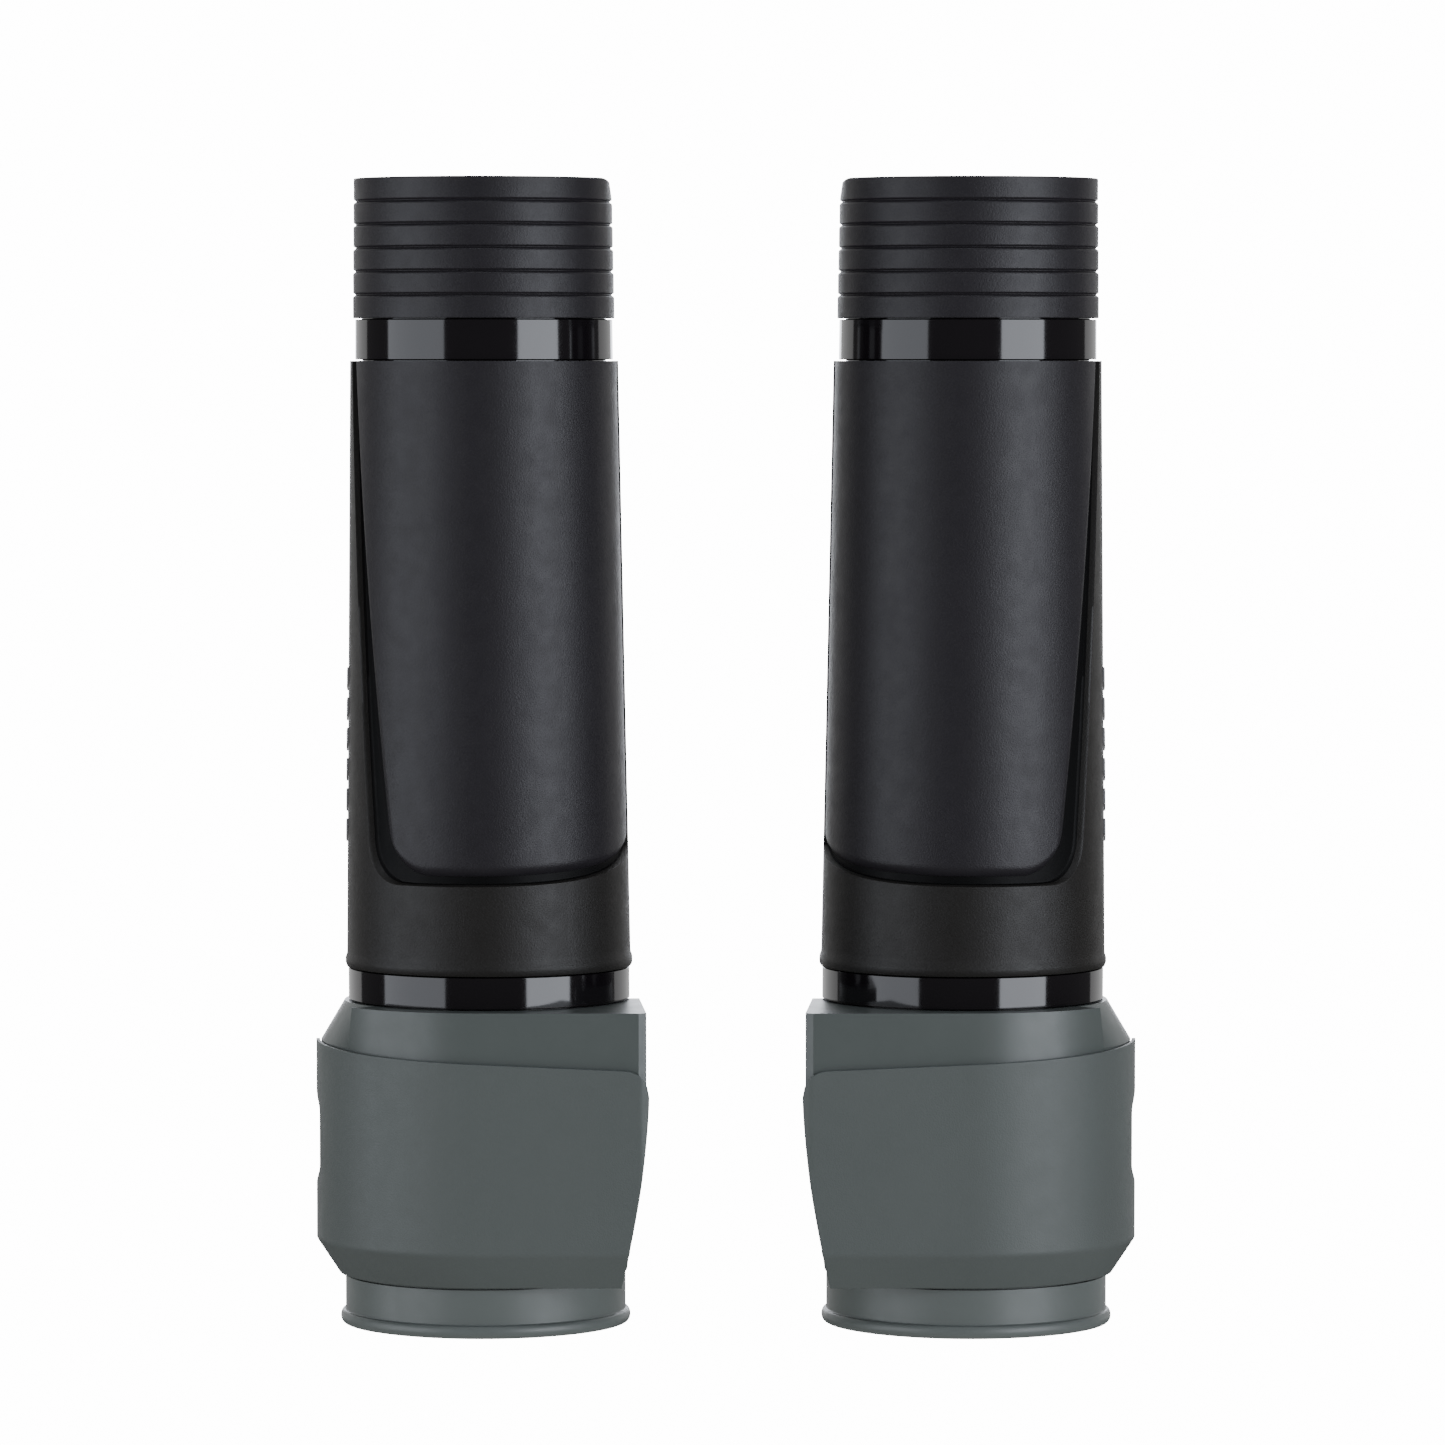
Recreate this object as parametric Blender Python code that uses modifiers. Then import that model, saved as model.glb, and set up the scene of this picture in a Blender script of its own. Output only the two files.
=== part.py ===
"""A pair of wrap-around fork tube covers, left and right, standing on their bottom flanges.

Each cover is a clamshell that closes round one fork leg. Its front half and its rear flap are
built up in layers: an inner sleeve, a ribbed top collar, a body shell with an inset front panel,
a thick lower block with a wear panel, and a bottom wiper collar. The rear flap turns on a pinned
barrel hinge that runs down the outer rear side. The right cover is modelled first, and the left
one is its mirror image.

Metres, +Z up. The origin is at the middle of the pair, on the surface it stands on. The covers
face -Y, and the outer side of the right cover is +X.
"""
from math import cos, pi, radians, sin, sqrt

import bmesh
import bpy
from mathutils import Matrix, Vector

# ---- the pair
COVER_SPACING = 0.114          # between the two fork legs
GAP = 0.0003                   # between neighbouring pieces
SEGMENTS = 36                  # facets round a full turn

# ---- lengths of the stacked zones, from the floor up
COLLAR_LENGTH = 0.0117
BLOCK_LENGTH = 0.0649
LOWER_BAND_LENGTH = 0.0080
BODY_LENGTH = 0.1428
UPPER_BAND_LENGTH = 0.0100
RIB_LENGTH = 0.0328

# ---- radii
LOWER_BORE = 0.0305            # inside the block and the collar
SPIGOT_WALL = 0.0015           # wall of a spigot that plugs into the block
BODY_TOP_RADIUS = 0.0316
BODY_BASE_RADIUS = 0.0336
RIB_TOP_RADIUS = 0.03035
RIB_BASE_RADIUS = 0.03085
UPPER_BAND_RADIUS = 0.0303
LOWER_BAND_RADIUS = 0.03325
NECK_RADIUS = 0.0332           # collar between the block and its flange
FLANGE_RADIUS = 0.03435
GUARD_RADIUS = 0.0343          # rear guard behind the block
BLOCK_HALF = 0.0388            # block, from the leg's axis to its flat front

# ---- walls and details
SLEEVE_WALL = 0.0015
SHELL_WALL = 0.0026
RIB_WALL = 0.00125
RIB_COUNT = 6
RIB_GROOVE_WIDTH = 0.0008
RIB_GROOVE_DEPTH = 0.0005
TOP_LIP = 0.0014               # turned-in lip that covers the sleeve's top end
BEAD_LENGTH = 0.0030
BEAD_HEIGHT = 0.0003
SPIGOT_LENGTH = 0.0080
COLLAR_SPIGOT_LENGTH = 0.0046
FLANGE_LENGTH = 0.0031
FLANGE_ROUND = 0.0003          # rounding of the flange's outer edges
INWARD_LEAN = 0.0063           # sideways shift of the upper pieces towards the other cover, per metre down

# ---- inset front panel: angles run from the outer side (0) over the front (90) to the inner side (180)
PANEL_SET_BACK = 0.00035       # panel face behind the shell face
PANEL_THICKNESS = 0.0009
RECESS_TOP_ANGLE = 13.5
RECESS_BASE_ANGLE = 36.5
RECESS_END_ANGLE = 190.0       # runs out past the parting plane on the inner side
RECESS_HEIGHT = 0.0208         # recess floor edge above the shell's bottom end
RECESS_CORNER = 0.0110
GROOVE_TOP_WIDTH = 0.0006
GROOVE_BASE_WIDTH = 0.0068
GROOVE_FOOT = 0.0024
EDGE_RISE = 0.0060             # how far the recess climbs at the inner side
PANEL_GRID = (16, 6)           # columns and rows of the panel's facets

# ---- badge on the outer side of the shell
BADGE_ANGLE = 3.0
BADGE_WIDTH = 0.0072
BADGE_LENGTH = 0.0500
BADGE_BASE_HEIGHT = 0.0250     # above the shell's bottom end
BADGE_PLATE = 0.0004
BADGE_BAR = 0.0004
BADGE_BAR_COUNT = 6
BADGE_BAR_SLANT = 0.0022

# ---- block and wear panel
BLOCK_CORNER_X = 0.0368        # where the flat front ends on the inner side
BLOCK_CORNER_BEVEL = 0.0018
BLOCK_BACK_X = 0.0365          # inner side of the block at the parting plane
BLOCK_REAR_ANGLE = 10.0        # round outer side runs this far past the middle before it tapers in
SHOULDER_DROP = 0.0092
SHOULDER_FRONT_ANGLE = 30.0
BLOCK_FOOT_CHAMFER = 0.0085
SCALLOP_DEPTH = 0.0012
SCALLOP_BASE = 0.0325
SCALLOP_TOP = 0.0560
SCALLOP_RAMP = 0.0040
FLANK_TOP = 0.0570             # the inner flank slants in below this height
FLANK_FOOT_WALL = 0.0012
WEAR_THICKNESS = 0.0009
WEAR_TOP_OUTER = 0.0674
WEAR_TOP_INNER = 0.0630
WEAR_CORNER = 0.0060
WEAR_EDGE_FOOT = 0.0327        # inner edge of the wear panel at its foot
WEAR_START_ANGLE = 3.0         # outer end of the wear panel, just in front of the outer side
WEAR_CORNER_MARGIN = 0.047 * BLOCK_HALF   # wear panel bends this far beyond the block's own corner
WEAR_GRID = (21, 6)            # columns and rows of the wear panel's facets
WEAR_FOOT_SHARE = 1.0 / WEAR_GRID[1]   # lowest row follows the foot chamfer
GUARD_BORE_MARGIN = 0.0010     # guard blank, thicker than its finished wall

# ---- hinge of the rear flap
PARTING_ANGLE = 38.0           # behind the outer side
LAP_ANGLE = 6.0                # the front sleeve's tongue under the rear shell
HINGE_PIN_RADIUS = 0.0009
KNUCKLE_WALL = 0.0010
KNUCKLE_COUNT = 5
LEAF_WIDTH = 0.0068
LEAF_REACH = 0.0050
LEAF_FACE = 0.0014             # face of the leaf, inside the hinge axis
HINGE_MARGIN_BASE = 0.0130     # hinge clear of the shell's two ends
HINGE_MARGIN_TOP = 0.0060
HINGE_CLEARANCE = 0.0015       # hinge axis clear outside the widest plain piece

# ---- levels that follow from the lengths
BLOCK_BASE = COLLAR_LENGTH
BLOCK_TOP = BLOCK_BASE + BLOCK_LENGTH
BODY_BASE = BLOCK_TOP + LOWER_BAND_LENGTH
BODY_TOP = BODY_BASE + BODY_LENGTH
RIB_BASE = BODY_TOP + UPPER_BAND_LENGTH
COVER_TOP = RIB_BASE + RIB_LENGTH
REACH = 4.0 * BLOCK_HALF       # long enough for any cutter
OVERRUN = 0.002                # cutters run this far past an open face

# ---- hinge axis, clear outside every turned piece
KNUCKLE_RADIUS = HINGE_PIN_RADIUS + GAP + KNUCKLE_WALL
WIDEST_SHELL = max(BODY_TOP_RADIUS, BODY_BASE_RADIUS) + BEAD_HEIGHT
WIDEST_END = max(FLANGE_RADIUS, GUARD_RADIUS, NECK_RADIUS, LOWER_BAND_RADIUS, RIB_BASE_RADIUS)
HINGE_RADIUS = max(WIDEST_SHELL - BEAD_HEIGHT + GAP + KNUCKLE_RADIUS, WIDEST_END + HINGE_CLEARANCE)
HINGE_X = HINGE_RADIUS * cos(radians(PARTING_ANGLE))
HINGE_Y = HINGE_RADIUS * sin(radians(PARTING_ANGLE))
LEG_Y = 0.5 * (BLOCK_HALF + GAP + WEAR_THICKNESS - max(FLANGE_RADIUS, GUARD_RADIUS))
HINGE_BASE = BODY_BASE + HINGE_MARGIN_BASE
HINGE_TOP = BODY_TOP - HINGE_MARGIN_TOP

MATERIALS = {
    "gloss_black": ((0.010, 0.009, 0.010), 0.10, 0.0),
    "satin_black": ((0.020, 0.020, 0.026), 0.50, 0.0),
    "grained_black": ((0.017, 0.017, 0.017), 0.50, 0.0),
    "slate_grey": ((0.072, 0.090, 0.090), 0.32, 0.0),
    "grained_grey": ((0.076, 0.092, 0.092), 0.50, 0.0),
    "badge_grey": ((0.240, 0.240, 0.245), 0.30, 0.0),
    "pin_steel": ((0.560, 0.560, 0.570), 0.28, 1.0),
}


def clear_scene():
    """Empty the scene and the data that its objects leave behind."""
    for obj in list(bpy.data.objects):
        bpy.data.objects.remove(obj, do_unlink=True)
    for mesh in list(bpy.data.meshes):
        bpy.data.meshes.remove(mesh)


def make_collection(name):
    group = bpy.data.collections.new(name)
    bpy.context.scene.collection.children.link(group)
    return group


def make_material(name):
    colour, roughness, metallic = MATERIALS[name]
    material = bpy.data.materials.new(name)
    material.use_nodes = True
    shader = material.node_tree.nodes["Principled BSDF"]
    shader.inputs["Base Color"].default_value = (*colour, 1.0)
    shader.inputs["Roughness"].default_value = roughness
    shader.inputs["Metallic"].default_value = metallic
    return material


def make_object(name, mesh, group):
    obj = bpy.data.objects.new(name, mesh)
    group.objects.link(obj)
    return obj


def mesh_from(bm, name):
    mesh = bpy.data.meshes.new(name)
    bm.to_mesh(mesh)
    bm.free()
    return mesh


def bake(obj):
    """Replace an object's mesh with its evaluated one and drop its modifiers."""
    bpy.context.view_layer.update()
    evaluated = obj.evaluated_get(bpy.context.evaluated_depsgraph_get())
    mesh = bpy.data.meshes.new_from_object(evaluated)
    mesh.name = obj.name
    obj.modifiers.clear()
    obj.data = mesh
    return obj


def as_cutter(obj):
    """Move a helper solid out of the model."""
    for group in list(obj.users_collection):
        group.objects.unlink(obj)
    CUTTERS.objects.link(obj)
    obj.hide_render = True
    obj.display_type = "WIRE"
    return obj


def combine(target, other, operation):
    """Boolean of two solids; the second becomes a helper."""
    modifier = target.modifiers.new(other.name, "BOOLEAN")
    modifier.operation = operation
    modifier.solver = "EXACT"
    modifier.object = as_cutter(other)
    return target


def cut(target, other):
    return combine(target, other, "DIFFERENCE")


def keep(target, other):
    return combine(target, other, "INTERSECT")


def join(target, other):
    return combine(target, other, "UNION")


def lean(obj):
    """Shear a solid towards the other cover, level by level, about the top of the body."""
    shear = Matrix.Identity(4)
    shear[0][2] = INWARD_LEAN
    shear[0][3] = -INWARD_LEAN * BODY_TOP
    obj.data.transform(shear)
    return obj


def turned(name, profile, leaning=False):
    """A ring from a closed profile of (radius, height), listed down its outer side first."""
    bm = bmesh.new()
    corners = [bm.verts.new((radius, 0.0, height)) for radius, height in profile]
    for first, second in zip(corners, corners[1:] + corners[:1]):
        bm.edges.new((first, second))
    obj = make_object(name, mesh_from(bm, name), PARTS)
    screw = obj.modifiers.new("Screw", "SCREW")
    screw.axis = "Z"
    screw.angle = 2.0 * pi
    screw.steps = SEGMENTS
    screw.render_steps = SEGMENTS
    screw.use_merge_vertices = True
    screw.merge_threshold = 0.00001
    bake(obj)
    return lean(obj) if leaning else obj


def prism(name, outline, base, top):
    """A flat outline, listed anticlockwise, raised between two heights."""
    bm = bmesh.new()
    floor = bm.faces.new([bm.verts.new((x, y, base)) for x, y in outline])
    raised = bmesh.ops.extrude_face_region(bm, geom=[floor])
    lifted = [item for item in raised["geom"] if isinstance(item, bmesh.types.BMVert)]
    bmesh.ops.translate(bm, verts=lifted, vec=(0.0, 0.0, top - base))
    bmesh.ops.recalc_face_normals(bm, faces=bm.faces)
    return make_object(name, mesh_from(bm, name), PARTS)


def bar(name, radius, base, top, x=0.0, y=0.0, sides=16):
    """An upright round bar."""
    bm = bmesh.new()
    place = Matrix.Translation((x, y, 0.5 * (base + top)))
    bmesh.ops.create_cone(bm, cap_ends=True, segments=sides, radius1=radius, radius2=radius,
                          depth=top - base, matrix=place)
    return make_object(name, mesh_from(bm, name), PARTS)


def plate(name, surface, columns, rows, inside, outside):
    """A thin solid: a grid laid on surface(across, up) and thickened to two offsets."""
    bm = bmesh.new()
    bmesh.ops.create_grid(bm, x_segments=columns, y_segments=rows, size=0.5)
    for vert in bm.verts:
        vert.co = surface(vert.co.x + 0.5, vert.co.y + 0.5)
    bmesh.ops.reverse_faces(bm, faces=bm.faces)
    obj = make_object(name, mesh_from(bm, name), PARTS)
    shell = obj.modifiers.new("Solidify", "SOLIDIFY")
    shell.solidify_mode = "EXTRUDE"
    shell.thickness = outside - inside
    shell.offset = (outside + inside) / (outside - inside)
    shell.use_even_offset = True
    return bake(obj)


def wedge(name, end_angle, clearance):
    """The space behind the parting planes, pulled in by a clearance on both sides."""
    start = radians(PARTING_ANGLE)
    end = radians(end_angle)
    half = 0.5 * (end - start)
    middle = 0.5 * (start + end)
    apex = Vector((cos(middle), sin(middle))) * (clearance / sin(half))
    far = REACH / cos(0.5 * half)
    ring = [apex]
    for share in (0.0, 0.25, 0.5, 0.75, 1.0):
        angle = start + share * (end - start)
        ring.append(apex + Vector((cos(angle), sin(angle))) * far)
    return prism(name, ring, -REACH, COVER_TOP + REACH)


def front_half(obj, end_angle=180.0):
    return cut(obj, wedge(obj.name + "_parting", end_angle, 0.0))


def rear_half(obj, end_angle=180.0):
    return keep(obj, wedge(obj.name + "_parting", end_angle, GAP))


def shell_radius(height):
    """Outer radius of the body shell, a straight taper."""
    share = (height - BODY_BASE) / BODY_LENGTH
    return BODY_BASE_RADIUS + share * (BODY_TOP_RADIUS - BODY_BASE_RADIUS)


def round_point(radius, angle, height):
    """A point at an angle from the outer side round over the front."""
    return Vector((radius * cos(radians(angle)), -radius * sin(radians(angle)), height))


def sleeve_profile():
    """Gloss sleeve: spigot, proud lower band, waist under the shell, proud upper band, neck."""
    waist = SHELL_WALL + GAP
    neck = RIB_TOP_RADIUS - RIB_WALL - GAP
    waist_top = shell_radius(BODY_TOP) - waist
    waist_base = shell_radius(BODY_BASE) - waist
    spigot = LOWER_BORE + SPIGOT_WALL
    outer = [
        (neck, COVER_TOP - TOP_LIP - GAP),
        (neck, RIB_BASE - GAP),
        (UPPER_BAND_RADIUS, RIB_BASE - GAP),
        (UPPER_BAND_RADIUS, BODY_TOP + GAP),
        (waist_top, BODY_TOP + GAP),
        (waist_base, BODY_BASE - GAP),
        (LOWER_BAND_RADIUS, BODY_BASE - GAP),
        (LOWER_BAND_RADIUS, BLOCK_TOP + GAP),
        (spigot, BLOCK_TOP + GAP),
        (spigot, BLOCK_TOP - SPIGOT_LENGTH),
    ]
    inner = [
        (LOWER_BORE, BLOCK_TOP - SPIGOT_LENGTH),
        (LOWER_BORE, BLOCK_TOP),
    ]
    if waist_base > LOWER_BAND_RADIUS:
        inner.append((LOWER_BAND_RADIUS - SLEEVE_WALL, BODY_BASE + SLEEVE_WALL))
        inner.append((waist_base - SLEEVE_WALL, BODY_BASE + SLEEVE_WALL))
    else:
        inner.append((waist_base - SLEEVE_WALL, BODY_BASE))
    inner.append((waist_top - SLEEVE_WALL, BODY_TOP))
    inner.append((min(neck, waist_top) - SLEEVE_WALL, COVER_TOP - TOP_LIP - GAP))
    return outer + inner


def inner_sleeve(name, half):
    return half(turned(name, sleeve_profile(), leaning=True), 180.0 - LAP_ANGLE)


def ribbed_collar(name, half):
    """Top collar: a band for each rib with a narrow groove between neighbours."""
    pitch = RIB_LENGTH / RIB_COUNT
    slope = (RIB_BASE_RADIUS - RIB_TOP_RADIUS) / RIB_LENGTH
    outer = [(RIB_TOP_RADIUS, COVER_TOP)]
    for index in range(1, RIB_COUNT):
        middle = COVER_TOP - index * pitch
        radius = RIB_TOP_RADIUS + index * pitch * slope
        outer.append((radius, middle + 0.5 * RIB_GROOVE_WIDTH))
        outer.append((radius - RIB_GROOVE_DEPTH, middle))
        outer.append((radius, middle - 0.5 * RIB_GROOVE_WIDTH))
    outer.append((RIB_BASE_RADIUS, RIB_BASE))
    seat = RIB_TOP_RADIUS - RIB_WALL
    mouth = min(seat - GAP, shell_radius(BODY_TOP) - SHELL_WALL - GAP) - SLEEVE_WALL
    lip = COVER_TOP - TOP_LIP
    inner = [(seat, RIB_BASE), (seat, lip), (mouth, lip), (mouth, COVER_TOP)]
    return half(turned(name, outer + inner, leaning=True))


def shell_ring(name):
    """Body shell, with a bead round its bottom end."""
    bead = shell_radius(BODY_BASE) + BEAD_HEIGHT
    profile = [
        (shell_radius(BODY_TOP), BODY_TOP),
        (shell_radius(BODY_BASE + BEAD_LENGTH), BODY_BASE + BEAD_LENGTH),
        (bead, BODY_BASE + 0.75 * BEAD_LENGTH),
        (bead, BODY_BASE + 0.25 * BEAD_LENGTH),
        (shell_radius(BODY_BASE), BODY_BASE),
        (shell_radius(BODY_BASE) - SHELL_WALL, BODY_BASE),
        (shell_radius(BODY_TOP) - SHELL_WALL, BODY_TOP),
    ]
    return turned(name, profile, leaning=True)


def panel_surface(inset, foot, end_angle, top):
    """Surface of the front panel, or of its recess: inset is its (top, base) distance in from the
    recess's outer edge, and foot its height above the recess's bottom edge."""
    base = BODY_BASE + RECESS_HEIGHT + foot
    corner = RECESS_CORNER

    def edge_angle(height):
        share = min(1.0, max(0.0, (height - base) / (BODY_TOP - base)))
        angle = RECESS_BASE_ANGLE + share * (RECESS_TOP_ANGLE - RECESS_BASE_ANGLE)
        width = inset[1] + share * (inset[0] - inset[1])
        return angle + width / shell_radius(height) * 180.0 / pi

    def surface(across, up):
        spread = across ** 1.5
        start = edge_angle(base)
        arc = spread * radians(end_angle - start) * shell_radius(base)
        rise = 0.0
        if arc < corner:
            rise = corner - sqrt(max(0.0, corner ** 2 - (corner - arc) ** 2))
        rise += EDGE_RISE * spread ** 4
        height = base + rise + up * (top - base - rise)
        angle = edge_angle(height) + spread * (end_angle - edge_angle(height))
        return round_point(shell_radius(height), angle, height)

    return surface


def front_panel(name):
    """Inset panel over the front and the inner side of the shell."""
    inset = (GROOVE_TOP_WIDTH, GROOVE_BASE_WIDTH)
    surface = panel_surface(inset, GROOVE_FOOT, 180.0, BODY_TOP)
    obj = plate(name, surface, *PANEL_GRID, -PANEL_SET_BACK - PANEL_THICKNESS, -PANEL_SET_BACK)
    return lean(obj)


def panel_recess(name):
    """Recess that the panel sits in, open at the shell's top end and parting plane."""
    surface = panel_surface((0.0, 0.0), 0.0, RECESS_END_ANGLE, BODY_TOP + 2.0 * OVERRUN)
    depth = PANEL_SET_BACK + PANEL_THICKNESS + GAP
    return lean(plate(name, surface, *PANEL_GRID, -depth, OVERRUN))


def badge_surface(grow):
    """Upright strip on the outer side of the shell, grown by a margin all round."""
    def surface(across, up):
        height = BODY_BASE + BADGE_BASE_HEIGHT - grow + up * (BADGE_LENGTH + 2.0 * grow)
        radius = shell_radius(height)
        arc = (across - 0.5) * (BADGE_WIDTH + 2.0 * grow)
        return round_point(radius, BADGE_ANGLE + arc / radius * 180.0 / pi, height)
    return surface


def side_badge(name):
    """Badge plate with a row of plain slanted bars."""
    obj = plate(name, badge_surface(0.0), 4, 4, -BADGE_PLATE, 0.0)
    pitch = BADGE_LENGTH / (BADGE_BAR_COUNT + 1)
    for index in range(BADGE_BAR_COUNT):
        middle = BODY_BASE + BADGE_BASE_HEIGHT + (index + 1) * pitch

        def surface(across, up, middle=middle):
            height = middle + (up - 0.5) * 0.5 * pitch + (across - 0.5) * BADGE_BAR_SLANT
            radius = shell_radius(height)
            arc = (across - 0.5) * 0.8 * BADGE_WIDTH
            return round_point(radius, BADGE_ANGLE + arc / radius * 180.0 / pi, height)

        bar_name = f"{name}_bar_{index + 1}"
        join(obj, plate(bar_name, surface, 4, 1, -0.5 * BADGE_PLATE, BADGE_BAR))
    return lean(bake(obj))


def body_shell_front(name):
    obj = front_half(shell_ring(name))
    cut(obj, panel_recess(name + "_recess"))
    pocket = plate(name + "_pocket", badge_surface(GAP), 4, 4, -BADGE_PLATE - GAP, OVERRUN)
    return cut(obj, lean(pocket))


def body_shell_rear(name):
    return rear_half(shell_ring(name))


def plan_arc(radius, start, end, steps):
    """Points of a level arc, angles in degrees from the outer side round over the front."""
    points = [round_point(radius, start + (end - start) * step / steps, 0.0) for step in range(steps + 1)]
    return [(point.x, point.y) for point in points]


def block_outline():
    """Plan of the block: round outer side, flat front, bevelled inner corner, tapered rear end."""
    parting = radians(PARTING_ANGLE)
    outline = [(GUARD_RADIUS * cos(parting), GUARD_RADIUS * sin(parting))]
    outline += plan_arc(BLOCK_HALF, -BLOCK_REAR_ANGLE, 90.0, SEGMENTS // 3)
    outline.append((-BLOCK_CORNER_X, -BLOCK_HALF))
    outline.append((-BLOCK_CORNER_X - BLOCK_CORNER_BEVEL, -BLOCK_HALF + 0.6 * BLOCK_CORNER_BEVEL))
    outline.append((-BLOCK_BACK_X, 0.0))
    outline.append((0.0, 0.0))
    return outline[::-1]


def bore_cutter(name):
    """Bore of the block and the guard, with the seats for both spigots."""
    seat = LOWER_BORE + SPIGOT_WALL + GAP
    low_seat = BLOCK_BASE + COLLAR_SPIGOT_LENGTH + GAP
    high_seat = BLOCK_TOP - SPIGOT_LENGTH - GAP
    middle = bar(name, LOWER_BORE, -REACH, REACH, sides=SEGMENTS)
    join(middle, bar(name + "_low_seat", seat, -REACH, low_seat, sides=SEGMENTS))
    return join(middle, lean(bar(name + "_high_seat", seat, high_seat, REACH, sides=SEGMENTS)))


def shoulder_cutter(name):
    """Space outside the cone of the block's shoulder, over its outer side only."""
    slope = (BLOCK_HALF - LOWER_BAND_RADIUS) / SHOULDER_DROP
    far = BLOCK_HALF
    profile = [
        (LOWER_BAND_RADIUS + far, BLOCK_TOP + far),
        (LOWER_BAND_RADIUS + far, BLOCK_TOP - far / slope),
        (LOWER_BAND_RADIUS, BLOCK_TOP),
        (LOWER_BAND_RADIUS, BLOCK_TOP + far),
    ]
    ring = turned(name, profile)
    front = radians(SHOULDER_FRONT_ANGLE)
    side = [(0.0, 0.0), (REACH * cos(front), -REACH * sin(front)), (REACH, REACH), (-REACH, REACH)]
    return keep(ring, prism(name + "_side", side, 0.0, REACH))


def foot_cutter(name):
    """Space below the chamfer round the block's foot."""
    slope = (BLOCK_HALF - NECK_RADIUS) / BLOCK_FOOT_CHAMFER
    far = BLOCK_HALF
    profile = [
        (NECK_RADIUS + far, BLOCK_BASE + far / slope),
        (NECK_RADIUS + far, BLOCK_BASE - far),
        (NECK_RADIUS, BLOCK_BASE - far),
        (NECK_RADIUS, BLOCK_BASE),
    ]
    return turned(name, profile)


def side_profile_cutter(name, outline):
    """A cutter drawn in the front view and run through from front to rear."""
    solid = prism(name, outline, -REACH, REACH)
    solid.data.transform(Matrix.Rotation(pi / 2.0, 4, "X"))
    return solid


def scallop_cutter(name):
    """Shallow hollow down the outer side of the block."""
    floor = BLOCK_HALF - SCALLOP_DEPTH
    outline = [
        (REACH, SCALLOP_BASE),
        (REACH, SCALLOP_TOP),
        (BLOCK_HALF + GAP, SCALLOP_TOP),
        (floor, SCALLOP_TOP - SCALLOP_RAMP),
        (floor, SCALLOP_BASE + SCALLOP_RAMP),
        (BLOCK_HALF + GAP, SCALLOP_BASE),
    ]
    return side_profile_cutter(name, outline)


def flank_cutter(name):
    """Space beyond the slanted inner flank of the block."""
    foot = LOWER_BORE + SPIGOT_WALL + GAP + FLANK_FOOT_WALL
    outline = [
        (-REACH, FLANK_TOP),
        (-REACH, BLOCK_BASE - GAP),
        (-foot, BLOCK_BASE - GAP),
        (-BLOCK_CORNER_X - BLOCK_CORNER_BEVEL - GAP, FLANK_TOP),
    ]
    return side_profile_cutter(name, outline)


def glide_block(name):
    """Thick lower block of the front half."""
    obj = prism(name, block_outline(), BLOCK_BASE, BLOCK_TOP)
    cut(obj, bore_cutter(name + "_bore"))
    cut(obj, shoulder_cutter(name + "_shoulder"))
    cut(obj, foot_cutter(name + "_foot"))
    cut(obj, scallop_cutter(name + "_scallop"))
    cut(obj, flank_cutter(name + "_flank"))
    return front_half(obj)


def wear_path(offset):
    """Length of the wear panel's path, and the path itself: outer side, round front, flat front, corner."""
    turn = radians(90.0 - WEAR_START_ANGLE)
    radius = BLOCK_HALF + offset
    arc = radius * turn
    flat = BLOCK_CORNER_X + WEAR_CORNER_MARGIN
    corner = Vector((-1.0, 0.6)).normalized()
    bevel = BLOCK_CORNER_BEVEL

    def point(length):
        if length < arc:
            place = round_point(radius, WEAR_START_ANGLE + length / radius * 180.0 / pi, 0.0)
            return place.x, place.y
        if length < arc + flat:
            return -(length - arc), -radius
        beyond = length - arc - flat
        return -flat + corner.x * beyond, -radius + corner.y * beyond

    return arc + flat + bevel, point


def wear_edge(height):
    """Inner edge of the wear panel: upright at the top, slanting in towards its foot."""
    full = BLOCK_CORNER_X + BLOCK_CORNER_BEVEL * 0.8
    share = min(1.0, max(0.0, (FLANK_TOP - height) / (FLANK_TOP - BLOCK_BASE)))
    return full - (full - WEAR_EDGE_FOOT) * share ** 1.4


def wear_surface(across, up):
    """Wrap of the wear panel round the block, following the foot chamfer at its lower end."""
    top = WEAR_TOP_OUTER + across * (WEAR_TOP_INNER - WEAR_TOP_OUTER)
    length, _ = wear_path(GAP)
    to_end = (1.0 - across) * length
    if to_end < WEAR_CORNER:
        top -= WEAR_CORNER - sqrt(WEAR_CORNER ** 2 - (WEAR_CORNER - to_end) ** 2)
    chamfer_top = BLOCK_BASE + BLOCK_FOOT_CHAMFER
    if up < WEAR_FOOT_SHARE:
        height = BLOCK_BASE + GAP + (chamfer_top - BLOCK_BASE - GAP) * up / WEAR_FOOT_SHARE
    else:
        height = chamfer_top + (top - chamfer_top) * (up - WEAR_FOOT_SHARE) / (1.0 - WEAR_FOOT_SHARE)
    inset = (BLOCK_HALF - NECK_RADIUS) * max(0.0, chamfer_top - height) / BLOCK_FOOT_CHAMFER
    length, point = wear_path(GAP - inset)
    shorter = length - (BLOCK_CORNER_X + BLOCK_CORNER_BEVEL * 0.8 - wear_edge(height))
    x, y = point(across * shorter)
    return Vector((x, y, height))


def wear_panel(name):
    """Grained panel that wraps the front of the block and overhangs its inner flank."""
    return plate(name, wear_surface, *WEAR_GRID, 0.0, WEAR_THICKNESS)


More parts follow.
